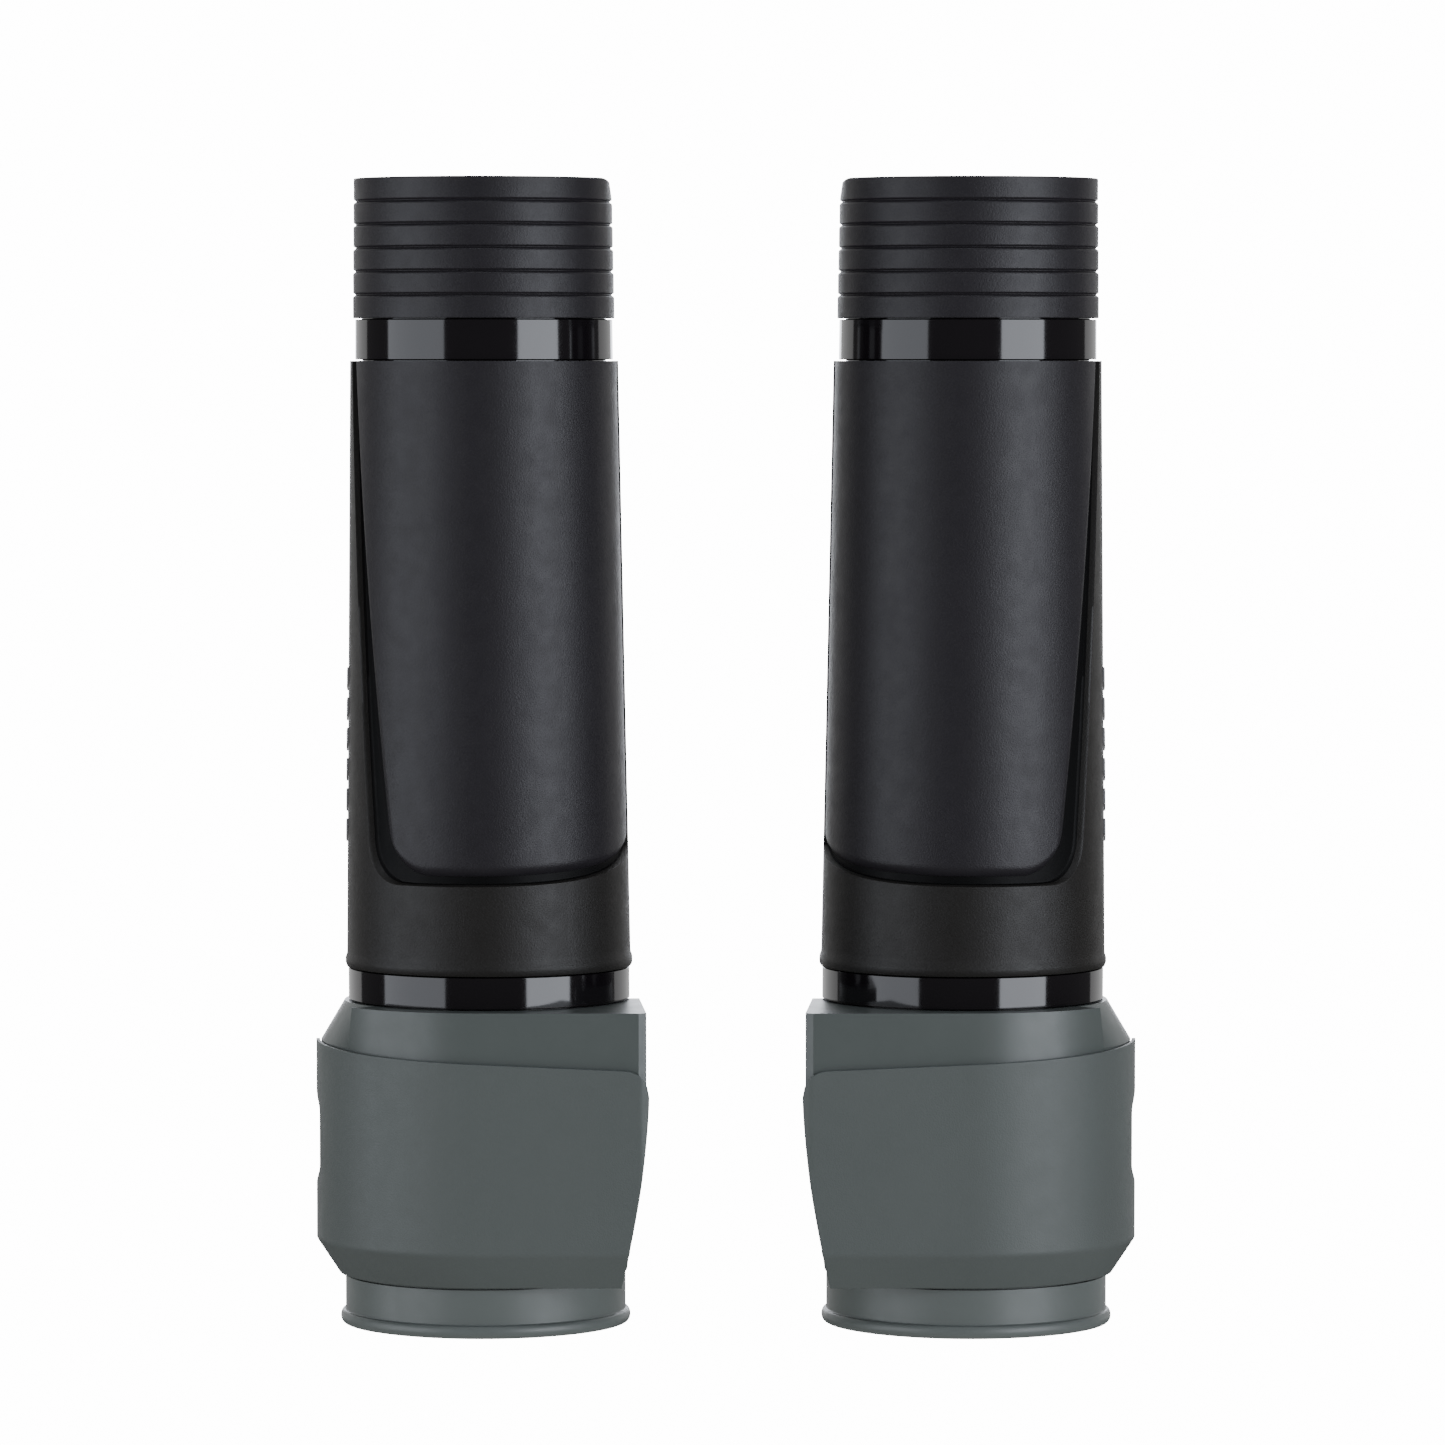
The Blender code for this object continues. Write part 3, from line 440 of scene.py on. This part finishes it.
# ---- front panels
# A thin satin panel inset in the shell's recess, a little below the frame, with a soft rolled lip
# along its outer edge and foot.
PANEL_FOOT = RECESS_FOOT + 0.0024
PANEL_BASE_INSET = 0.0068       # from the recess's edge to the panel's, along the surface
PANEL_TOP_INSET = 0.0006
PANEL_RISE = 0.0062
PANEL_DROP = 0.00035
PANEL_COLUMNS = 190
PANEL_ROWS = 150
COLUMN_CROWDING = 1.4           # draws the columns together towards the lip, and the rows alike
ROW_CROWDING = 1.3
LIP_WIDTH = 0.0026
LIP_DEPTH = 0.0012
LIP_ROLL = 2.2


def panel_side(height):
    """Angle of the panel's outer edge at a height."""
    share = min(1.0, max(0.0, (height - PANEL_FOOT) / (BODY_TOP - PANEL_FOOT)))
    inset = PANEL_BASE_INSET + share * (PANEL_TOP_INSET - PANEL_BASE_INSET)
    return RECESS_BASE_ANGLE - RECESS_SWEEP * share + degrees(inset / shell_radius(height))


def panel_surface(across, up):
    """From the outer edge and the foot, with a round corner between them, over the front."""
    along = across ** COLUMN_CROWDING
    base = panel_side(PANEL_FOOT)
    arc = along * radians(INNER_SIDE - base) * FOOT_RADIUS
    rise = PANEL_RISE * along ** 4
    if arc < RECESS_CORNER:
        rise += RECESS_CORNER - sqrt(RECESS_CORNER ** 2 - (RECESS_CORNER - arc) ** 2)
    from_foot = up ** ROW_CROWDING * (BODY_TOP - PANEL_FOOT - rise)
    height = PANEL_FOOT + rise + from_foot
    side = panel_side(height)
    angle = side + along * (INNER_SIDE - side)
    from_side = radians(angle - side) * shell_radius(height)
    lip = 0.0
    for distance in (from_side, from_foot):
        if distance < LIP_WIDTH:
            lip += LIP_DEPTH * (1.0 - distance / LIP_WIDTH) ** LIP_ROLL
    return around(shell_radius(height) - PANEL_DROP - min(lip, LIP_DEPTH), angle, height)


panel = skin("panel", PANEL_COLUMNS, PANEL_ROWS, panel_surface, SKIN_WALL)
lean_in(panel)
fit(panel, satin_black, "front_halves", "front_panel")

# ---- side badges
# A small plate set on the shell's outer side, with plain slanted bars moulded on it in light grey.
badge_grey = moulded_plastic("badge_light_grey", (0.20, 0.20, 0.205), 0.30)
for side in ("left", "right"):
    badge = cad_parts[side + "_side_badge"]
    badge.data.materials.clear()
    badge.data.materials.append(badge_grey)

# ---- glide blocks
# The thick slate grey foot of the front half. Its outer side is round, with a coned shoulder and a
# shallow scallop, and its front is flat and runs out to a bevelled corner on the inner side, where
# the flank slants back in towards the collar.
slate_grey = moulded_plastic("slate_grey_smooth", (0.068, 0.079, 0.075), 0.38, mottle=0.05)
BLOCK_HALF = 0.0388
ROUND_START = -10.0             # degrees, where the block's round side begins, to the front at 90
ROUND_STEPS = 160
CORNER_X = 0.0368
CORNER_BEVEL = 0.0018
FLANK_BACK_X = 0.0365
GUARD_RADIUS = 0.0343
GUARD_STEP = 0.0006
NECK_RADIUS = 0.0332
SEAT = BORE + 0.0018            # the bore's wider ends, round the sleeve's spigot and the collar's
TOP_SEAT_DEPTH = 0.0083
FOOT_SEAT_DEPTH = 0.0049
SHOULDER_DROP = 0.0092
SHOULDER_START = -60.0
SHOULDER_END = 40.0             # the shoulder's front end at its top
SHOULDER_SLANT = 15.0           # degrees that this end slants back on the way down
FOOT_CHAMFER = 0.0085
FLANK_TOP = 0.0570
FLANK_FOOT_X = SEAT + 0.0012
SCALLOP = 0.0012
SCALLOP_LOW = 0.0325
SCALLOP_HIGH = 0.0560
SCALLOP_RAMP = 0.0040
FAR = 0.1                       # well outside the cover


def drawn_solid(name, outline, base, top):
    """A flat outline of (x, y) raised from one height to another."""
    bpy.ops.object.select_all(action="DESELECT")
    bpy.ops.mesh.primitive_circle_add(vertices=len(outline), radius=0.01, fill_type="NGON")
    solid = bpy.context.object
    solid.name = name
    for vert, (x, y) in zip(solid.data.vertices, outline):
        vert.co = (x, y, base)
    bpy.ops.object.mode_set(mode="EDIT")
    bpy.ops.mesh.select_all(action="SELECT")
    bpy.ops.mesh.extrude_region_move(TRANSFORM_OT_translate={"value": (0.0, 0.0, top - base)})
    bpy.ops.mesh.select_all(action="SELECT")
    bpy.ops.mesh.normals_make_consistent(inside=False)
    bpy.ops.object.mode_set(mode="OBJECT")
    return solid


def round_tool(name, base_radius, top_radius, base, top):
    """A plain cylinder or cone about the leg's axis."""
    bpy.ops.object.select_all(action="DESELECT")
    bpy.ops.mesh.primitive_cone_add(vertices=180, radius1=base_radius, radius2=top_radius, depth=top - base)
    tool = bpy.context.object
    tool.name = name
    tool.data.transform(Matrix.Translation((0.0, 0.0, 0.5 * (base + top))))
    return tool


def combine(piece, tool, operation="DIFFERENCE"):
    """Cut a tool solid from a piece, join it on or keep what both fill, then throw it away."""
    boolean = piece.modifiers.new("Combine", "BOOLEAN")
    boolean.operation = operation
    boolean.solver = "MANIFOLD"
    boolean.object = tool
    bpy.ops.object.select_all(action="DESELECT")
    bpy.context.view_layer.objects.active = piece
    piece.select_set(True)
    bpy.ops.object.modifier_apply(modifier=boolean.name)
    bpy.data.objects.remove(tool, do_unlink=True)


outline = [tuple(around(GUARD_RADIUS, PARTING, 0.0).xy),
           tuple(around(GUARD_RADIUS + GUARD_STEP, PARTING + 7.0, 0.0).xy)]
for step in range(ROUND_STEPS + 1):
    angle = ROUND_START + (90.0 - ROUND_START) * step / ROUND_STEPS
    outline.append(tuple(around(BLOCK_HALF, angle, 0.0).xy))
outline += [(-CORNER_X, -BLOCK_HALF), (-CORNER_X - CORNER_BEVEL, -BLOCK_HALF + 0.6 * CORNER_BEVEL)]
outline += [(-FLANK_BACK_X, 0.0), (-SEAT + 0.003, 0.0), (0.0, 0.004)]
block = drawn_solid("block", outline, BLOCK_BASE, BLOCK_TOP)
combine(block, round_tool("bore_tool", BORE, BORE, 0.0, FAR))
top_seat = round_tool("top_seat_tool", SEAT, SEAT, BLOCK_TOP - TOP_SEAT_DEPTH, FAR)
lean_in(top_seat)
combine(block, top_seat)
combine(block, round_tool("foot_seat_tool", SEAT, SEAT, 0.0, BLOCK_BASE + FOOT_SEAT_DEPTH))
slope = (BLOCK_HALF - LOWER_BAND_RADIUS) / SHOULDER_DROP
cone = turned_half("shoulder_tool", [
    (LOWER_BAND_RADIUS + BLOCK_HALF, BLOCK_TOP + BLOCK_HALF),
    (LOWER_BAND_RADIUS + BLOCK_HALF, BLOCK_TOP - BLOCK_HALF / slope),
    (LOWER_BAND_RADIUS, BLOCK_TOP),
    (LOWER_BAND_RADIUS, BLOCK_TOP + BLOCK_HALF)], SHOULDER_START, SHOULDER_END, steps=60)
for vert in cone.data.vertices:
    rise = min(1.0, max(0.0, (vert.co.z - BLOCK_TOP + SHOULDER_DROP) / SHOULDER_DROP))
    angle = degrees(atan2(-vert.co.y, vert.co.x))
    reach = (angle - SHOULDER_START) / (SHOULDER_END - SHOULDER_START)
    radius = sqrt(vert.co.x ** 2 + vert.co.y ** 2)
    vert.co = around(radius, angle + reach * (rise - 1.0) * SHOULDER_SLANT, vert.co.z)
combine(block, cone)
slope = (BLOCK_HALF - NECK_RADIUS) / FOOT_CHAMFER
combine(block, round_tool("foot_tool", NECK_RADIUS, NECK_RADIUS + FAR * slope,
                          BLOCK_BASE, BLOCK_BASE + FAR), "INTERSECT")
hollow = drawn_solid("scallop_tool", [
    (FAR, SCALLOP_LOW), (FAR, SCALLOP_HIGH), (BLOCK_HALF + GAP, SCALLOP_HIGH),
    (BLOCK_HALF - SCALLOP, SCALLOP_HIGH - SCALLOP_RAMP),
    (BLOCK_HALF - SCALLOP, SCALLOP_LOW + SCALLOP_RAMP), (BLOCK_HALF + GAP, SCALLOP_LOW)], -FAR, FAR)
hollow.data.transform(Matrix.Rotation(0.5 * pi, 4, "X"))
combine(block, hollow)
flank = drawn_solid("flank_tool", [
    (-FAR, FLANK_TOP), (-FAR, BLOCK_BASE - GAP), (-FLANK_FOOT_X, BLOCK_BASE - GAP),
    (-CORNER_X - CORNER_BEVEL - GAP, FLANK_TOP)], -FAR, FAR)
flank.data.transform(Matrix.Rotation(0.5 * pi, 4, "X"))
combine(block, flank)
behind = drawn_solid("parting_tool", [
    (0.0, 0.0), tuple(around(FAR, PARTING, 0.0).xy), (FAR, FAR), (-FAR, FAR), (-FAR, 0.0)], -FAR, FAR)
combine(block, behind)
round_edges(block, 0.0005, 3, 25.0)
fit(block, slate_grey, "front_halves", "glide_block_front")

# ---- wear panels
# A grained skin wrapped round the block, from the outer side over the flat front. It follows the
# chamfer at the foot, and its free inner edge slants down past the block's flank.
grained_grey = moulded_plastic("slate_grey_grained", (0.070, 0.081, 0.077), 0.52, grain=0.40,
                               mottle=0.05)
WEAR_THICKNESS = 0.0009
WEAR_RADIUS = BLOCK_HALF + GAP + WEAR_THICKNESS
WEAR_START = 3.0
WEAR_CORNER = 0.0060
WEAR_FOLD = 0.0388              # where the flat front folds back over the block's corner
WEAR_FOLD_RADIUS = 0.0016
WEAR_FOLD_ANGLE = 31.0
WEAR_FULL = 0.0396              # from the front's middle to the free edge, high up
WEAR_FOOT = 0.0327              # the same at the foot
WEAR_TAPER = 1.5
WEAR_TOP_OUTER = 0.0674
WEAR_TOP_INNER = 0.0630
WEAR_RAMP = 0.0055              # height over which the skin sinks into the scallop
CHAMFER_SHARE = 0.2             # share of the rows below the top of the foot chamfer
WEAR_COLUMNS = 170
WEAR_ROWS = 84


def wear_point(radius, length):
    """Point along the panel's level path: round the outer side, flat over the front, round the fold."""
    arc = radius * radians(90.0 - WEAR_START)
    if length < arc:
        return around(radius, WEAR_START + degrees(length / radius), 0.0).xy
    flat = WEAR_FOLD - WEAR_FOLD_RADIUS
    if length < arc + flat:
        return Vector((-(length - arc), -radius))
    turn = (length - arc - flat) / WEAR_FOLD_RADIUS
    limit = radians(WEAR_FOLD_ANGLE)
    swept = min(turn, limit)
    folded = Vector((-flat - WEAR_FOLD_RADIUS * sin(swept),
                     -radius + WEAR_FOLD_RADIUS * (1.0 - cos(swept))))
    beyond = max(0.0, turn - limit) * WEAR_FOLD_RADIUS
    return folded + Vector((-cos(limit), sin(limit))) * beyond


def wear_surface(across, up):
    """From the outer end (across 0) and the foot, up to the sloping top with its round corner."""
    chamfer_top = BLOCK_BASE + FOOT_CHAMFER
    full = WEAR_RADIUS * radians(90.0 - WEAR_START) + WEAR_FULL
    top = WEAR_TOP_OUTER + across * (WEAR_TOP_INNER - WEAR_TOP_OUTER)
    to_end = (1.0 - across) * full
    if to_end < WEAR_CORNER:
        top -= WEAR_CORNER - sqrt(WEAR_CORNER ** 2 - (WEAR_CORNER - to_end) ** 2)
    if up < CHAMFER_SHARE:
        height = BLOCK_BASE + GAP + (chamfer_top - BLOCK_BASE - GAP) * up / CHAMFER_SHARE
    else:
        height = chamfer_top + (top - chamfer_top) * (up - CHAMFER_SHARE) / (1.0 - CHAMFER_SHARE)
    radius = WEAR_RADIUS - (BLOCK_HALF - NECK_RADIUS) * max(0.0, chamfer_top - height) / FOOT_CHAMFER
    drop = min(1.0, max(0.0, (FLANK_TOP - height) / (FLANK_TOP - BLOCK_BASE)))
    length = radius * radians(90.0 - WEAR_START) + WEAR_FULL
    length -= (WEAR_FULL - WEAR_FOOT) * drop ** WEAR_TAPER
    place = wear_point(radius, across * length)
    into = min(1.0, max(0.0, min(height - SCALLOP_LOW, SCALLOP_HIGH - height) / WEAR_RAMP))
    limit = WEAR_RADIUS - SCALLOP * into * into * (3.0 - 2.0 * into)
    return Vector((min(place.x, limit), place.y, height))


wear = skin("wear", WEAR_COLUMNS, WEAR_ROWS, wear_surface, WEAR_THICKNESS)
round_edges(wear, 0.00042, 3, 55.0)
fit(wear, grained_grey, "front_halves", "wear_panel")

# ---- wiper collars
# The smooth grey bottom ring in two halves: a spigot up into the block, a plain neck, and a flange
# with a full round edge that the cover stands on.
# The collar's own grey is the block's slate grey; the extra lightness painted into it is painted light,
# standing in for light bounced up from the floor onto the bottom ring.
collar_grey_painted_floor_light = moulded_plastic("slate_grey_collar_painted_floor_light", (0.095, 0.108, 0.103), 0.42, mottle=0.05)
FLANGE_HEIGHT = 0.0031
FLANGE_ROUND = 0.0010
FLANGE_STEPS = 14
NECK_FILLET = 0.0004
FILLET_STEPS = 6
MOUTH_CHAMFER = 0.0006
COLLAR_SPIGOT = BORE + 0.0015
SPIGOT_TOP = BLOCK_BASE + 0.0046
collar_profile = [(COLLAR_SPIGOT, SPIGOT_TOP), (COLLAR_SPIGOT, BLOCK_BASE - GAP),
                  (NECK_RADIUS, BLOCK_BASE - GAP)]
for step in range(FILLET_STEPS + 1):
    turn = 0.5 * pi * step / FILLET_STEPS
    height = FLANGE_HEIGHT + NECK_FILLET * (1.0 - sin(turn))
    collar_profile.append((NECK_RADIUS + NECK_FILLET * (1.0 - cos(turn)), height))
for step in range(FLANGE_STEPS + 1):
    turn = pi * step / FLANGE_STEPS
    height = 0.5 * FLANGE_HEIGHT * (1.0 + cos(turn))
    collar_profile.append((FLANGE_RADIUS - FLANGE_ROUND * (1.0 - sin(turn)), height))
collar_profile += [(BORE + MOUTH_CHAMFER, 0.0), (BORE, MOUTH_CHAMFER), (BORE, SPIGOT_TOP)]
for body, half, start, end in HALVES:
    collar = turned_half("collar_" + half, collar_profile, start, end)
    round_edges(collar, 0.0002, 2, 60.0)
    fit(collar, collar_grey_painted_floor_light, body, "wiper_collar_" + half)

# ---- rear guards
# The flap's plain grey wall behind the block, chamfered at both ends.
TOP_SEAT = SEAT + 0.0002
guard_profile = [
    (LOWER_BAND_RADIUS, BLOCK_TOP),
    (GUARD_RADIUS, BLOCK_TOP - 0.5 * SHOULDER_DROP),
    (GUARD_RADIUS, BLOCK_BASE + 0.5 * FOOT_CHAMFER),
    (NECK_RADIUS, BLOCK_BASE),
    (SEAT, BLOCK_BASE),
    (SEAT, BLOCK_BASE + FOOT_SEAT_DEPTH),
    (BORE, BLOCK_BASE + FOOT_SEAT_DEPTH),
    (BORE, BLOCK_TOP - TOP_SEAT_DEPTH),
    (TOP_SEAT, BLOCK_TOP - TOP_SEAT_DEPTH),
    (TOP_SEAT, BLOCK_TOP),
]
guard = turned_half("guard", guard_profile, REAR_START, REAR_END)
round_edges(guard, 0.0004, 3, 20.0)
fit(guard, slate_grey, "right_flap", "guard_rear")

# ---- hinges
# Two moulded leaves down the outer rear side, knuckle to knuckle on a drawn steel pin. Each leaf is
# a flat strip fixed to its shell, with every other knuckle standing on it and room cut out of it for
# the other leaf's knuckles.
KNUCKLES = 5
PIN_RADIUS = 0.0009
KNUCKLE_RADIUS = 0.0022
LEAF_WIDTH = 0.0068
LEAF_FACE = 0.0014              # how far the leaf's two faces lie inwards of the pin
LEAF_BACK = 0.0028
HINGE_RADIUS = 0.0361
HINGE_BASE = BODY_BASE + 0.0130
HINGE_TOP = BODY_TOP - 0.0060
knuckle_pitch = (HINGE_TOP - HINGE_BASE) / KNUCKLES
at_hinge = (Matrix.Translation(around(HINGE_RADIUS, PARTING, 0.0))
            @ Matrix.Rotation(radians(-PARTING), 4, "Z"))
for half, body, first, near, far in (("front", "front_halves", 0, -LEAF_WIDTH, -0.5 * GAP),
                                     ("rear", "right_flap", 1, 0.5 * GAP, LEAF_WIDTH)):
    strip = [(-LEAF_BACK, near), (-LEAF_FACE, near), (-LEAF_FACE, far), (-LEAF_BACK, far)]
    leaf = drawn_solid("leaf_" + half, strip, HINGE_BASE, HINGE_TOP)
    for knuckle in range(KNUCKLES):
        low = HINGE_BASE + knuckle * knuckle_pitch
        high = low + knuckle_pitch
        if knuckle % 2 == first:
            barrel = round_tool("barrel", KNUCKLE_RADIUS, KNUCKLE_RADIUS, low + 0.5 * GAP, high - 0.5 * GAP)
            combine(leaf, barrel, "UNION")
        else:
            clear = KNUCKLE_RADIUS + GAP
            combine(leaf, round_tool("room", clear, clear, low - 0.5 * GAP, high + 0.5 * GAP))
    pin_hole = PIN_RADIUS + GAP
    combine(leaf, round_tool("pin_hole", pin_hole, pin_hole, 0.0, COVER_TOP))
    leaf.data.transform(at_hinge)
    body_tool = round_tool("body_tool", BODY_BASE_RADIUS + GAP, BODY_TOP_RADIUS + GAP, BODY_BASE, BODY_TOP)
    lean_in(body_tool)
    combine(leaf, body_tool)
    round_edges(leaf, 0.00018, 2, 40.0)
    fit(leaf, grained_black, body, "hinge_leaf_" + half)

# The pin is steel wire with rounded ends, a little dulled, standing in the front leaf's knuckles.
pin_steel = moulded_plastic("pin_wire_steel", (0.56, 0.56, 0.57), 0.28)
pin_steel.node_tree.nodes["Principled BSDF"].inputs["Metallic"].default_value = 1.0
pin = round_tool("pin", PIN_RADIUS, PIN_RADIUS, HINGE_BASE - GAP, HINGE_TOP + GAP)
pin.data.transform(at_hinge)
round_edges(pin, 0.0002, 2, 40.0)
fit(pin, pin_steel, "front_halves", "hinge_pin")

# ---- studio
# White floor and backdrop paper, lit by four soft boxes: a bright one to the right, a dimmer one to
# the left, and weak ones above and behind. The paper looks brighter to the camera than it shines on
# the covers, so that it stays white without washing out their black.
PAPER_SIZE = 8.0
PAPER_SHINE = 0.95
PAPER_GLARE = 14.0
paper = bpy.data.materials.new("studio_paper")
paper.use_nodes = True
paper_shader = paper.node_tree.nodes["Principled BSDF"]
paper_shader.inputs["Base Color"].default_value = (0.0, 0.0, 0.0, 1.0)
paper_shader.inputs["Roughness"].default_value = 1.0
paper_shader.inputs["Specular IOR Level"].default_value = 0.0
paper_shader.inputs["Emission Color"].default_value = (1.0, 1.0, 1.0, 1.0)
sight = paper.node_tree.nodes.new("ShaderNodeLightPath")
glow = paper.node_tree.nodes.new("ShaderNodeMath")
glow.operation = "MULTIPLY_ADD"
glow.inputs[1].default_value = PAPER_GLARE
glow.inputs[2].default_value = PAPER_SHINE
paper.node_tree.links.new(sight.outputs["Is Camera Ray"], glow.inputs[0])
paper.node_tree.links.new(glow.outputs["Value"], paper_shader.inputs["Emission Strength"])
bpy.ops.object.select_all(action="DESELECT")
bpy.ops.mesh.primitive_plane_add(size=PAPER_SIZE, location=(0.0, 0.0, -0.0002))
floor = bpy.context.object
floor.name = "studio_floor"
floor.data.materials.append(paper)
floor.visible_glossy = False
bpy.ops.object.select_all(action="DESELECT")
bpy.ops.mesh.primitive_plane_add(size=PAPER_SIZE, location=(0.0, 3.0, 3.5),
                                 rotation=(0.5 * pi, 0.0, 0.0))
backdrop = bpy.context.object
backdrop.name = "studio_backdrop"
backdrop.data.materials.append(paper)
backdrop.visible_diffuse = False

world = bpy.data.worlds.new("studio")
bpy.context.scene.world = world
world.use_nodes = True
sky = world.node_tree.nodes["Background"]
sky.inputs["Color"].default_value = (0.9, 0.9, 0.9, 1.0)
sky.inputs["Strength"].default_value = 0.12

AIM_HEIGHT = 0.14
LAMP_COLOUR = (0.93, 0.97, 1.05)


def soft_box(name, azimuth, distance, height, width, tall, power):
    """A rectangular light at an angle to the right of the viewer, aimed at the covers."""
    lamp = bpy.data.lights.new(name, "AREA")
    lamp.shape = "RECTANGLE"
    lamp.size = width
    lamp.size_y = tall
    lamp.energy = power
    lamp.color = LAMP_COLOUR
    box = bpy.data.objects.new(name, lamp)
    bpy.context.collection.objects.link(box)
    box.location = (distance * sin(radians(azimuth)), -distance * cos(radians(azimuth)), height)
    aim = Vector((0.0, 0.0, AIM_HEIGHT)) - box.location
    box.rotation_euler = aim.to_track_quat("-Z", "Y").to_euler()


soft_box("key_box", 50.0, 1.3, 0.20, 0.95, 0.9, 18.0)
soft_box("fill_box", -64.0, 1.2, 0.20, 1.3, 0.9, 10.5)
soft_box("top_box", 0.0, 0.55, 1.7, 1.2, 0.8, 6.0)
soft_box("back_box", 180.0, 1.4, 0.45, 1.0, 0.9, 12.0)

CAMERA_X = -0.0008
CAMERA_DISTANCE = 1.65
CAMERA_HEIGHT = 0.229
VIEW_HEIGHT = 0.142
camera_data = bpy.data.cameras.new("camera")
camera_data.sensor_width = 36.0
camera_data.lens = 174.1
camera = bpy.data.objects.new("camera", camera_data)
bpy.context.collection.objects.link(camera)
camera.location = (CAMERA_X, LEG_Y - CAMERA_DISTANCE, CAMERA_HEIGHT)
view = Vector((CAMERA_X, LEG_Y, VIEW_HEIGHT)) - camera.location
camera.rotation_euler = view.to_track_quat("-Z", "Y").to_euler()
bpy.context.scene.camera = camera
